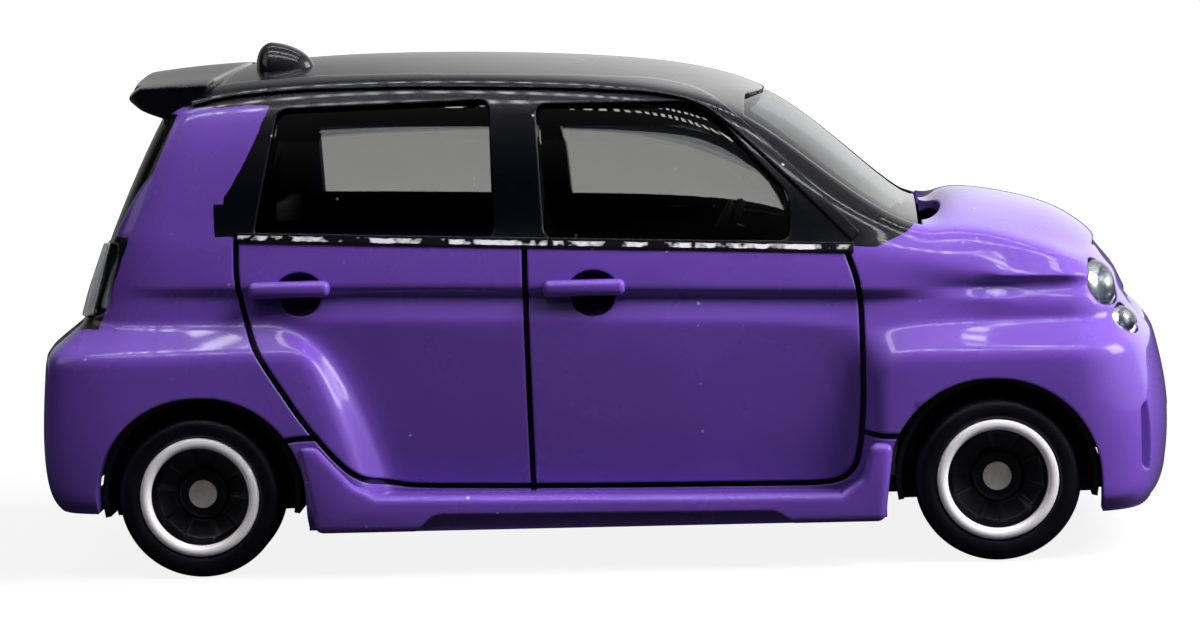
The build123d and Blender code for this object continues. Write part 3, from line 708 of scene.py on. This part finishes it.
wheels = {}
tyreShape, ringShape = makeTyre("tyreShape"), makeRing("ringShape")
for end in ("front", "rear"):
    for side, flipped in (("right", False), ("left", True)):
        # the copies' own spokes stop at different angles
        roll = Matrix.Rotation({"front": 0.5, "rear": -0.2}[end], 4, "Y")
        for kind, shape in (("tyre", tyreShape), ("trim_ring", ringShape)):
            piece = copyOf(shape, f"{kind}_{end}_{side}")
            piece.data.transform(roll)
            piece.data.transform(Matrix.Translation(Vector((axles[end], -wheel["face"], axles["z"])) * mm))
            if flipped:
                piece.data.transform(Matrix.Diagonal((1, -1, 1, 1)))
                piece.data.flip_normals()
            wheels[f"{kind}_{end}_{side}"] = piece
for piece in (tyreShape, ringShape):
    bpy.data.objects.remove(piece)
print("wheels made")


# ---- Arch liners -------------------------------------------------------------------------------
def makeLiner(name, x, side):
    # a black half round with a back wall, inside the wheel arch
    span = [(x + r * math.cos(math.radians(t)), axles["z"] + r * math.sin(math.radians(t)))
            for r, turns in ((5.3, range(-12, 193, 6)), (5.0, range(192, -14, -6))) for t in turns]
    liner = prism(name, span, lambda px, pz: (px, side * 8.75, pz), (0, side * 2.7, 0))
    disc = [(x + 5.2 * math.cos(math.radians(t)), axles["z"] + 5.2 * math.sin(math.radians(t)))
            for t in range(-14, 200, 6)]
    back = prism(name + "Back", disc, lambda px, pz: (px, side * 8.55, pz), (0, side * 0.25, 0))
    slot = prism("slot", [(x - 0.95, 3.0), (x - 0.95, 4.4), (x - 0.6, 5.1), (x, 5.35), (x + 0.6, 5.1), (x + 0.95, 4.4), (x + 0.95, 3.0)],
                 lambda px, pz: (px, side * 8.3, pz), (0, side * 0.8, 0))
    cut(back, slot)
    liner = joinPieces([liner, back], name)
    smoothByAngle(liner, 25)
    return liner


liners = [makeLiner(f"arch_liner_{end}_{hand}", axles[end], side)
          for end in ("front", "rear") for hand, side in (("right", -1), ("left", 1))]
print("liners made")
# ---- Belt trim, roof rails and steering wheel --------------------------------------------------
beltPath = [(-18.7, 18.0), (-4.0, 17.4), (6, 16.98), (13.6, 16.62)]


def makeBelt():
    strip = closedForm("belt_trim_right", 3, -0.09, 2.9)
    cut(strip, onRight("strip", bandCorners(beltPath, 0.5), 10.0, 14), "INTERSECT")
    smoothByAngle(strip, 30)
    return strip


# the raised rails over the side windows and down the windscreen pillars
railPath = [(-21.2, 25.15), (-19.6, 25.58), (-15.5, 25.86), (-9.3, 25.84), (-1.5, 25.56), (3.4, 25.2), (5.9, 24.55), (7.6, 23.2), (9.9, 21.05),
            (11.9, 19.05), (13.7, 17.2)]


def makeRail():
    rail = closedForm("roof_rail_right", 3, -0.13, 2.9)
    cut(rail, onRight("strip", bandCorners(railPath, 0.62), 6.5, 14), "INTERSECT")
    smoothByAngle(rail, 30)
    return rail


def makeSteering():
    # right-hand drive: the wheel is on the near side
    deselectAll()
    bpy.ops.mesh.primitive_torus_add(major_radius=1.15 * mm, minor_radius=0.17 * mm, major_segments=40, minor_segments=12)
    rim = bpy.context.object
    rim.name = "steering_wheel"
    rim.data.transform(Matrix.Translation(Vector((6.6, -5.5, 17.55)) * mm) @ Matrix.Rotation(math.radians(-62), 4, "Y"))
    column = prism("column", [(6.6, 17.3), (6.5, 17.8), (9.8, 16.2), (9.8, 15.6)], lambda x, z: (x, -5.7, z), (0, 0.4, 0))
    spoke = prism("spoke", [(6.45, 17.4), (6.6, 17.75), (6.8, 17.7), (6.65, 17.3)], lambda x, z: (x, -6.6, z), (0, 2.2, 0))
    rim = joinPieces([rim, column, spoke], "steering_wheel")
    smoothByAngle(rim, 40)
    return rim


beltTrims = [makeBelt()]
beltTrims.append(copyOf(beltTrims[0], "belt_trim_left", True))
rails = [makeRail()]
rails.append(copyOf(rails[0], "roof_rail_left", True))
steering = makeSteering()
print("trim pieces made")


# ---- Shader helpers ----------------------------------------------------------------------------
def put(tree, kind, inputs=None, **settings):
    # adds a node; an input that is a socket is linked, any other is its value
    node = tree.nodes.new("ShaderNode" + kind)
    for name, value in settings.items():
        setattr(node, name, value)
    for name, value in (inputs or {}).items():
        if isinstance(value, bpy.types.NodeSocket):
            tree.links.new(value, node.inputs[name])
        else:
            node.inputs[name].default_value = value
    return node


def calc(tree, operation, first, second=0.0, third=0.0):
    return put(tree, "Math", {0: first, 1: second, 2: third}, operation=operation).outputs[0]


def ramp(tree, value, low, high):
    # 0 below low, 1 above high
    return put(tree, "MapRange", {"Value": value, "From Min": low, "From Max": high}, clamp=True).outputs[0]


def blend(tree, share, first, second):
    node = put(tree, "Mix", data_type="RGBA")
    for index, value in ((0, share), (6, first), (7, second)):
        if isinstance(value, bpy.types.NodeSocket):
            tree.links.new(value, node.inputs[index])
        else:
            node.inputs[index].default_value = value
    return node.outputs[2]


def newGroup(name, inputs, outputs):
    group = bpy.data.node_groups.new(name, "ShaderNodeTree")
    for label, kind, value in inputs:
        socket = group.interface.new_socket(label, in_out="INPUT", socket_type="NodeSocket" + kind)
        if value is not None:
            socket.default_value = value
    for label, kind in outputs:
        group.interface.new_socket(label, in_out="OUTPUT", socket_type="NodeSocket" + kind)
    start = group.nodes.new("NodeGroupInput")
    end = group.nodes.new("NodeGroupOutput")
    return group, start.outputs, end


def useGroup(tree, group, inputs=None):
    node = put(tree, "Group")
    node.node_tree = group
    for name, value in (inputs or {}).items():
        if isinstance(value, bpy.types.NodeSocket):
            tree.links.new(value, node.inputs[name])
        else:
            node.inputs[name].default_value = value
    return node.outputs


def makeSpecks():
    # tiny specks of dust: some of the cells of a fine Voronoi pattern have a dot at their middle
    group, given, end = newGroup("dustSpecks", [("Vector", "Vector", None), ("Cells", "Float", 900.0),
                                                ("Share", "Float", 0.12), ("Size", "Float", 0.12)], [("Mask", "Float")])
    cells = put(group, "TexVoronoi", {"Vector": given["Vector"], "Scale": given["Cells"]})
    pick = put(group, "SeparateColor", {0: cells.outputs["Color"]})
    chosen = calc(group, "LESS_THAN", pick.outputs[0], given["Share"])
    size = calc(group, "MULTIPLY", given["Size"], pick.outputs[1])
    dot = calc(group, "LESS_THAN", cells.outputs["Distance"], size)
    group.links.new(calc(group, "MULTIPLY", chosen, dot), end.inputs["Mask"])
    return group


def makeSkin():
    # softened edges and the faint waves of thick paint
    group, given, end = newGroup("paintSkin", [("Vector", "Vector", None), ("Edge", "Float", 0.00018),
                                               ("Waves", "Float", 0.05)], [("Normal", "Vector")])
    soft = put(group, "Bevel", {"Radius": given["Edge"]}, samples=6)
    waves = put(group, "TexNoise", {"Vector": given["Vector"], "Scale": 330.0, "Detail": 2.0})
    bump = put(group, "Bump", {"Strength": given["Waves"], "Distance": 0.00005, "Height": waves.outputs[0],
                               "Normal": soft.outputs[0]})
    group.links.new(bump.outputs[0], end.inputs["Normal"])
    return group


def makeGrime():
    # uneven dullness: 0 where clean, 1 where handled
    group, given, end = newGroup("handledMarks", [("Vector", "Vector", None), ("Scale", "Float", 120.0)],
                                 [("Mask", "Float")])
    broad = put(group, "TexNoise", {"Vector": given["Vector"], "Scale": given["Scale"], "Detail": 5.0, "Roughness": 0.65})
    group.links.new(ramp(group, broad.outputs[0], 0.45, 0.75), end.inputs["Mask"])
    return group


dustSpecks, paintSkin, handledMarks = makeSpecks(), makeSkin(), makeGrime()


def newMaterial(name):
    material = bpy.data.materials.new(name)
    material.use_nodes = True
    tree = material.node_tree
    principled = tree.nodes["Principled BSDF"]
    place = put(tree, "TexCoord").outputs["Object"]
    return material, tree, principled, place


def setShader(principled, **values):
    for name, value in values.items():
        principled.inputs[name.replace("_", " ")].default_value = value


def link(tree, value, principled, *names):
    for name in names:
        tree.links.new(value, principled.inputs[name])


paint = {
    "purple": (0.125, 0.053, 0.355, 1), "black": (0.0008, 0.0010, 0.0032, 1), "dust": (0.62, 0.58, 0.7, 1),
    "ragged": 0.22, "roofZ": 24.78, "pillarStop": -19.4, "blob": (-19.95, 18.0, 19.75),
}


def blackMask(tree, place):
    # where the roof, the pillars, the window frames and the tail lamps' surrounds are black, by hand and uneven
    wobble = put(tree, "TexNoise", {"Vector": place, "Scale": 900.0, "Detail": 2.0})
    at = put(tree, "SeparateXYZ", {0: put(tree, "VectorMath", {0: place, 1: (1000, 1000, 1000)}, operation="MULTIPLY").outputs[0]})
    stray = calc(tree, "MULTIPLY_ADD", wobble.outputs[0], paint["ragged"] * 2, -paint["ragged"])
    x = calc(tree, "ADD", at.outputs[0], stray)
    z = calc(tree, "ADD", at.outputs[2], calc(tree, "MULTIPLY", stray, 0.6))
    roof = calc(tree, "GREATER_THAN", z, paint["roofZ"])
    upper = calc(tree, "MULTIPLY_ADD", z, 0.447, -28.03)
    lower = calc(tree, "MULTIPLY_ADD", z, 0.63, -32.07)
    edge = calc(tree, "MAXIMUM", calc(tree, "MINIMUM", upper, lower), paint["pillarStop"])
    ahead = calc(tree, "GREATER_THAN", x, edge)
    belt = calc(tree, "MULTIPLY_ADD", x, -0.0413, 17.21)
    screen = calc(tree, "MAXIMUM", calc(tree, "MULTIPLY_ADD", x, 0.42, 10.38), calc(tree, "MULTIPLY_ADD", x, 0.85, 3.35))
    over = calc(tree, "GREATER_THAN", z, calc(tree, "MAXIMUM", belt, screen))
    side = calc(tree, "MULTIPLY", ahead, over)
    blobX, blobLow, blobHigh = paint["blob"]
    blob = calc(tree, "MULTIPLY", calc(tree, "GREATER_THAN", x, blobX), calc(tree, "LESS_THAN", x, blobX + 2))
    blob = calc(tree, "MULTIPLY", blob, calc(tree, "GREATER_THAN", z, blobLow))
    blob = calc(tree, "MULTIPLY", blob, calc(tree, "LESS_THAN", z, blobHigh))
    side = calc(tree, "MAXIMUM", side, blob)
    aside = calc(tree, "GREATER_THAN", calc(tree, "ABSOLUTE", at.outputs[1]), 8.5)
    low = calc(tree, "MULTIPLY", calc(tree, "GREATER_THAN", z, 13.3), calc(tree, "LESS_THAN", z, 18.1))
    back = calc(tree, "LESS_THAN", x, calc(tree, "MULTIPLY_ADD", z, 0.36, -31.1))
    tail = calc(tree, "MULTIPLY", calc(tree, "MULTIPLY", aside, low), back)
    return calc(tree, "MAXIMUM", calc(tree, "MAXIMUM", roof, side), tail)


def paintMaterial(name, masked):
    # thick glossy paint: purple, and black over it where masked
    material, tree, principled, place = newMaterial(name)
    specks = useGroup(tree, dustSpecks, {"Vector": place, "Cells": 1300.0, "Share": 0.1, "Size": 0.13})["Mask"]
    marks = useGroup(tree, handledMarks, {"Vector": place})["Mask"]
    tone = blend(tree, marks, paint["purple"], tuple(c * 0.86 for c in paint["purple"][:3]) + (1,))
    if masked == "both":
        tone = blend(tree, blackMask(tree, place), tone, paint["black"])
    elif masked == "black":
        tone = blend(tree, marks, paint["black"], (0.003, 0.003, 0.004, 1))
    tone = blend(tree, calc(tree, "MULTIPLY", specks, 0.5), tone, paint["dust"])
    link(tree, tone, principled, "Base Color")
    rough = calc(tree, "MULTIPLY_ADD", marks, 0.05, 0.27)
    link(tree, rough, principled, "Roughness")
    link(tree, calc(tree, "MULTIPLY_ADD", marks, 0.05, 0.045), principled, "Coat Roughness")
    skin = useGroup(tree, paintSkin, {"Vector": place})["Normal"]
    link(tree, skin, principled, "Normal", "Coat Normal")
    setShader(principled, Coat_Weight=1.0, Coat_IOR=1.5, Specular_IOR_Level=0.35)
    return material


def glassMaterial(name, tint, rough, screenTint=None):
    material, tree, principled, place = newMaterial(name)
    if screenTint:
        # the screens, between the side panes, are a darker tint; each side pane has a black border, painted shade that
        # darkens the lining round it where it shows through the windows as the unlit inside of the car
        at = put(tree, "SeparateXYZ", {0: place}).outputs
        side = calc(tree, "GREATER_THAN", calc(tree, "ABSOLUTE", at[1]), 0.0082)
        above = calc(tree, "GREATER_THAN", at[2], calc(tree, "MULTIPLY_ADD", at[0], -0.025, 0.02325))
        below = calc(tree, "LESS_THAN", at[2], calc(tree, "MULTIPLY_ADD", at[0], -0.0413, 0.01790))
        ahead = calc(tree, "GREATER_THAN", at[0], calc(tree, "MULTIPLY_ADD", at[2], -1.274, 0.03508))
        behind = calc(tree, "LESS_THAN", at[0], -0.0168)
        paintedShadeBorder = calc(tree, "MAXIMUM", calc(tree, "MAXIMUM", above, below), calc(tree, "MAXIMUM", ahead, behind))
        tint = blend(tree, side, screenTint, tint)
        tint = blend(tree, calc(tree, "MULTIPLY", side, paintedShadeBorder), tint, (0.001, 0.001, 0.003, 1))
    specks = useGroup(tree, dustSpecks, {"Vector": place, "Cells": 1100.0, "Share": 0.1, "Size": 0.12})["Mask"]
    link(tree, blend(tree, specks, tint, (0.8, 0.8, 0.8, 1)), principled, "Base Color")
    link(tree, calc(tree, "MULTIPLY_ADD", specks, 0.4, rough), principled, "Roughness")
    setShader(principled, Transmission_Weight=1.0, IOR=1.46)
    return material


def plainMaterial(name, colour, rough, metallic=0.0, waves=0.1, coat=0.0, edge=0.00012, gloss=0.5):
    # moulded plastic or bare metal, a little dusty and unevenly worn
    material, tree, principled, place = newMaterial(name)
    specks = useGroup(tree, dustSpecks, {"Vector": place, "Cells": 1500.0, "Share": 0.08, "Size": 0.12})["Mask"]
    marks = useGroup(tree, handledMarks, {"Vector": place, "Scale": 240.0})["Mask"]
    worn = tuple(min(c * 1.4 + 0.001, 1) for c in colour[:3]) + (1,)
    tone = blend(tree, marks, colour, worn)
    link(tree, blend(tree, calc(tree, "MULTIPLY", specks, 0.4), tone, (0.5, 0.5, 0.52, 1)), principled, "Base Color")
    link(tree, calc(tree, "MULTIPLY_ADD", marks, 0.12, rough), principled, "Roughness")
    skin = useGroup(tree, paintSkin, {"Vector": place, "Waves": waves, "Edge": edge})["Normal"]
    link(tree, skin, principled, "Normal")
    setShader(principled, Metallic=metallic, Coat_Weight=coat, Specular_IOR_Level=gloss)
    return material


def axleMaterial():
    # a flat turned end, its colour and roughness uneven in fine blotches
    material, tree, principled, place = newMaterial("turnedSteel")
    marks = useGroup(tree, handledMarks, {"Vector": place, "Scale": 900.0})["Mask"]
    link(tree, blend(tree, marks, (0.78, 0.73, 0.68, 1), (0.45, 0.4, 0.37, 1)), principled, "Base Color")
    link(tree, calc(tree, "MULTIPLY_ADD", marks, 0.2, 0.3), principled, "Roughness")
    setShader(principled, Metallic=0.35)
    return material


def trimMaterial():
    # black gloss on the belt line, with a broken pale line along it: a painted highlight standing in for the lamps'
    # glint on the trim's edge
    material, tree, principled, place = newMaterial("rubbedTrim")
    glintBreaks = put(tree, "TexNoise", {"Vector": place, "Scale": 520.0, "Detail": 3.0, "Roughness": 0.7})
    at = put(tree, "SeparateXYZ", {0: place})
    # how far a point lies above the middle of the belt line
    above = calc(tree, "ADD", at.outputs[2], calc(tree, "MULTIPLY_ADD", at.outputs[0], 0.0425, -0.01724))
    stray = calc(tree, "MULTIPLY_ADD", glintBreaks.outputs[0], 0.0003, -0.00015)
    # the broken pale line along the middle of the belt is painted highlight, lit only where the noise is high
    line = calc(tree, "COMPARE", calc(tree, "ADD", above, stray), -0.00003, 0.00012)
    mask = calc(tree, "MULTIPLY", line, ramp(tree, glintBreaks.outputs[0], 0.46, 0.54))
    link(tree, blend(tree, mask, paint["black"], (0.9, 0.88, 0.93, 1)), principled, "Base Color")
    link(tree, calc(tree, "MULTIPLY", mask, 0.3), principled, "Metallic")
    skin = useGroup(tree, paintSkin, {"Vector": place, "Waves": 0.3, "Edge": 0.0001})["Normal"]
    link(tree, skin, principled, "Normal")
    setShader(principled, Roughness=0.2, Coat_Weight=1.0)
    return material


materials = {
    "twoTone": paintMaterial("twoTonePaint", "both"),
    "purple": paintMaterial("purplePaint", "none"),
    "black": paintMaterial("blackPaint", "black"),
    "smoke": glassMaterial("smokeGlazing", (0.5, 0.5, 0.49, 1), 0.02, (0.27, 0.28, 0.29, 1)),
    "clear": glassMaterial("clearLens", (0.93, 0.94, 0.95, 1), 0.03),
    "plastic": plainMaterial("blackPlastic", (0.004, 0.004, 0.006, 1), 0.42),
    "cabin": plainMaterial("cabinPlastic", (0.003, 0.003, 0.006, 1), 0.5, gloss=0.12),
    "wheelRim": plainMaterial("steeringPlastic", (0.02, 0.02, 0.026, 1), 0.4),
    "shade": plainMaterial("unlitPaint", (0.012, 0.006, 0.035, 1), 0.5, gloss=0.15),
    "tyre": plainMaterial("wheelPlastic", (0.0025, 0.0025, 0.005, 1), 0.36, waves=0.15, gloss=0.35),
    "ring": plainMaterial("silverPrint", (0.95, 0.92, 0.93, 1), 0.3, 0.1, 0.25),
    "silver": plainMaterial("silverLamp", (0.42, 0.46, 0.5, 1), 0.24, 0.9),
    # the tail lamps' lens and reflector are opaque and pale: a painted reflection, standing in for the silver-white
    # look of a clear lens over a silver reflector
    "pale": plainMaterial("paleLens", (0.5, 0.53, 0.55, 1), 0.16, coat=1.0),
    "lampBack": plainMaterial("whitenedPlastic", (0.78, 0.82, 0.84, 1), 0.3, coat=0.5),
    "steel": axleMaterial(),
    "trim": trimMaterial(),
}


def dress(piece, kind):
    piece.data.materials.clear()
    piece.data.materials.append(materials[kind])


smoothByAngle(casting, 35)
casting.data.materials[0], casting.data.materials[1] = materials["twoTone"], materials["shade"]
for piece in trims:
    dress(piece, "purple")
for piece in beltTrims:
    dress(piece, "trim")
for piece in [wing, fin] + rails:
    dress(piece, "black")
dress(glass, "smoke")
dress(steering, "wheelRim")
for piece in lampLenses:
    dress(piece, "pale" if piece.name.startswith("tail") else "clear")
for piece in lampSilver:
    dress(piece, "lampBack" if piece.name.startswith("tail") else "silver")
for piece in liners:
    dress(piece, "plastic")
for name, piece in wheels.items():
    dress(piece, "tyre" if name.startswith("tyre") else "ring")
for name, kind in (("interior_moulding", "cabin"), ("base_plate", "plastic"), ("grille_panel", "plastic"),
                   ("lower_grille", "plastic"), ("rivet_front", "steel"), ("rivet_rear", "steel"),
                   ("axle_front", "steel"), ("axle_rear", "steel")):
    dress(bpy.data.objects[name], kind)
print("materials laid")

for piece in [casting, wing, fin, glass, steering] + trims + beltTrims + lampLenses + lampSilver + liners + rails:
    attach(piece, "car_body")
for name, piece in wheels.items():
    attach(piece, name.split("_")[-2] + "_wheelset")
for piece, node in ((casting, "body_shell"), (wing, "roof_spoiler"), (fin, "antenna_fin"), (glass, "window_insert")):
    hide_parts(node)
for side in ("right", "left"):
    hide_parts(f"headlamp_{side}")
    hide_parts(f"tail_lamp_{side}")
    for end in ("front", "rear"):
        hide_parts(f"wheel_{end}_{side}")
        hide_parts(f"rim_ring_{end}_{side}")
print("pieces placed on their bodies")


# ---- Stage, world and lamps --------------------------------------------------------------------
def makeFloor():
    bpy.ops.mesh.primitive_plane_add(size=6)
    floor = bpy.context.object
    floor.name = "floor"
    material = bpy.data.materials.new("whiteFloor")
    material.use_nodes = True
    tree = material.node_tree
    tree.nodes.clear()
    rays = put(tree, "LightPath")
    # through glass too, unless the ray has bounced off something inside first
    bounces = calc(tree, "ADD", rays.outputs["Diffuse Depth"], rays.outputs["Glossy Depth"])
    through = calc(tree, "MULTIPLY", rays.outputs["Is Transmission Ray"], calc(tree, "LESS_THAN", bounces, 0.5))
    seen = calc(tree, "MAXIMUM", rays.outputs["Is Camera Ray"], through)
    # seen directly it is white but for the car's soft shadow; to the gloss and to bounced light it is dark
    away = put(tree, "VectorMath", {0: put(tree, "TexCoord").outputs["Object"]}, operation="LENGTH").outputs["Value"]
    strength = calc(tree, "MULTIPLY_ADD", ramp(tree, away, 0.05, 0.2), 0.12, 0.88)
    bright = put(tree, "Emission", {"Color": (1, 1, 1, 1), "Strength": strength})
    lit = put(tree, "BsdfDiffuse", {"Color": (0.07, 0.07, 0.07, 1)})
    soft = put(tree, "AddShader", {0: bright.outputs[0], 1: lit.outputs[0]})
    bounce = put(tree, "MixRGB", {0: rays.outputs["Is Glossy Ray"], 1: (0.03, 0.03, 0.035, 1), 2: (0.02, 0.02, 0.025, 1)})
    plain = put(tree, "BsdfDiffuse", {"Color": bounce.outputs[0]})
    both = put(tree, "MixShader", {0: seen, 1: plain.outputs[0], 2: soft.outputs[0]})
    end = tree.nodes.new("ShaderNodeOutputMaterial")
    tree.links.new(both.outputs[0], end.inputs[0])
    floor.data.materials.append(material)


sky = {"low": 0.0, "high": 0.4, "overhead": 0.15, "behind": 0.28, "ahead": 1.02, "front": 0.6}


def makeWorld():
    world = bpy.data.worlds.new("studio")
    bpy.context.scene.world = world
    world.use_nodes = True
    tree = world.node_tree
    tree.nodes.clear()
    rays = put(tree, "LightPath")
    # through glass too, unless the ray has bounced off something inside first
    bounces = calc(tree, "ADD", rays.outputs["Diffuse Depth"], rays.outputs["Glossy Depth"])
    through = calc(tree, "MULTIPLY", rays.outputs["Is Transmission Ray"], calc(tree, "LESS_THAN", bounces, 0.5))
    seen = calc(tree, "MAXIMUM", rays.outputs["Is Camera Ray"], through)
    toward = put(tree, "SeparateXYZ", {0: put(tree, "TexCoord").outputs["Generated"]})
    up, away = toward.outputs[2], toward.outputs[1]
    level = calc(tree, "MULTIPLY_ADD", ramp(tree, up, 0.3, 0.85), sky["high"] - sky["low"], sky["low"])
    # what the gloss mirrors is dark towards the camera and pale beyond the car
    mirrored = calc(tree, "MULTIPLY", ramp(tree, up, 0.3, 0.75), sky["overhead"])
    paler = calc(tree, "MULTIPLY_ADD", ramp(tree, toward.outputs[0], -0.17, 0.1), sky["ahead"] - sky["behind"], sky["behind"])
    mirrored = calc(tree, "MAXIMUM", mirrored, calc(tree, "MULTIPLY", ramp(tree, away, 0.1, 0.6), paler))
    mirrored = calc(tree, "MAXIMUM", mirrored, calc(tree, "MULTIPLY", ramp(tree, toward.outputs[0], 0.3, 0.9), sky["front"]))
    glossy = rays.outputs["Is Glossy Ray"]
    level = calc(tree, "ADD", calc(tree, "MULTIPLY", level, calc(tree, "SUBTRACT", 1.0, glossy)),
                 calc(tree, "MULTIPLY", mirrored, glossy))
    strength = calc(tree, "ADD", calc(tree, "MULTIPLY", seen, 1.0),
                    calc(tree, "MULTIPLY", calc(tree, "SUBTRACT", 1.0, seen), level))
    background = put(tree, "Background", {"Color": (1, 1, 1, 1), "Strength": strength})
    end = tree.nodes.new("ShaderNodeOutputWorld")
    tree.links.new(background.outputs[0], end.inputs[0])


lamps = [
    # name, place and target in millimetres, size, power
    ("topBox", (205, -48, 225), (5, 0, 12), 170, 2.4),
    ("frontBox", (250, -45, 150), (20, 0, 12), 120, 0.25),
    ("rearBox", (-220, -120, 170), (-15, 0, 14), 120, 0.03),
]
# three strips of small bright spots overhead, which the edges of the paint mirror as rows of dots
strips = {"size": (260, 16), "places": ((0, 12, 250), (0, -95, 235), (0, -150, 215)), "pitch": 0.0062, "lit": 0.5, "strength": 11.0}


def makeStrips():
    material = bpy.data.materials.new("spotStrip")
    material.use_nodes = True
    tree = material.node_tree
    tree.nodes.clear()
    across = put(tree, "SeparateXYZ", {0: put(tree, "TexCoord").outputs["Object"]}).outputs[0]
    spot = calc(tree, "FRACT", calc(tree, "DIVIDE", across, strips["pitch"]))
    strength = calc(tree, "MULTIPLY", calc(tree, "LESS_THAN", spot, strips["lit"]), strips["strength"])
    glow = put(tree, "Emission", {"Color": (1, 1, 1, 1), "Strength": strength})
    end = tree.nodes.new("ShaderNodeOutputMaterial")
    tree.links.new(glow.outputs[0], end.inputs[0])
    for index, place in enumerate(strips["places"]):
        deselectAll()
        bpy.ops.mesh.primitive_plane_add(size=1)
        strip = bpy.context.object
        strip.name = f"spotStrip{index}"
        width, depth = strips["size"]
        strip.data.transform(Matrix.Diagonal((width * mm, depth * mm, 1, 1)))
        strip.location = Vector(place) * mm
        strip.rotation_euler = (math.atan2(-place[1], place[2]) + math.pi, 0, 0)
        strip.visible_camera = False
        strip.visible_transmission = False
        strip.data.materials.append(material)


def addLamp(name, place, target, size, power):
    data = bpy.data.lights.new(name, "AREA")
    data.energy = power
    data.size = size * mm
    lamp = bpy.data.objects.new(name, data)
    bpy.context.scene.collection.objects.link(lamp)
    lamp.location = Vector(place) * mm
    lamp.rotation_euler = (Vector(target) - Vector(place)).to_track_quat("-Z", "Y").to_euler()


makeFloor()
makeWorld()
for row in lamps:
    addLamp(*row)
bpy.data.objects["topBox"].visible_glossy = False
makeStrips()
print("lamps and floor placed")
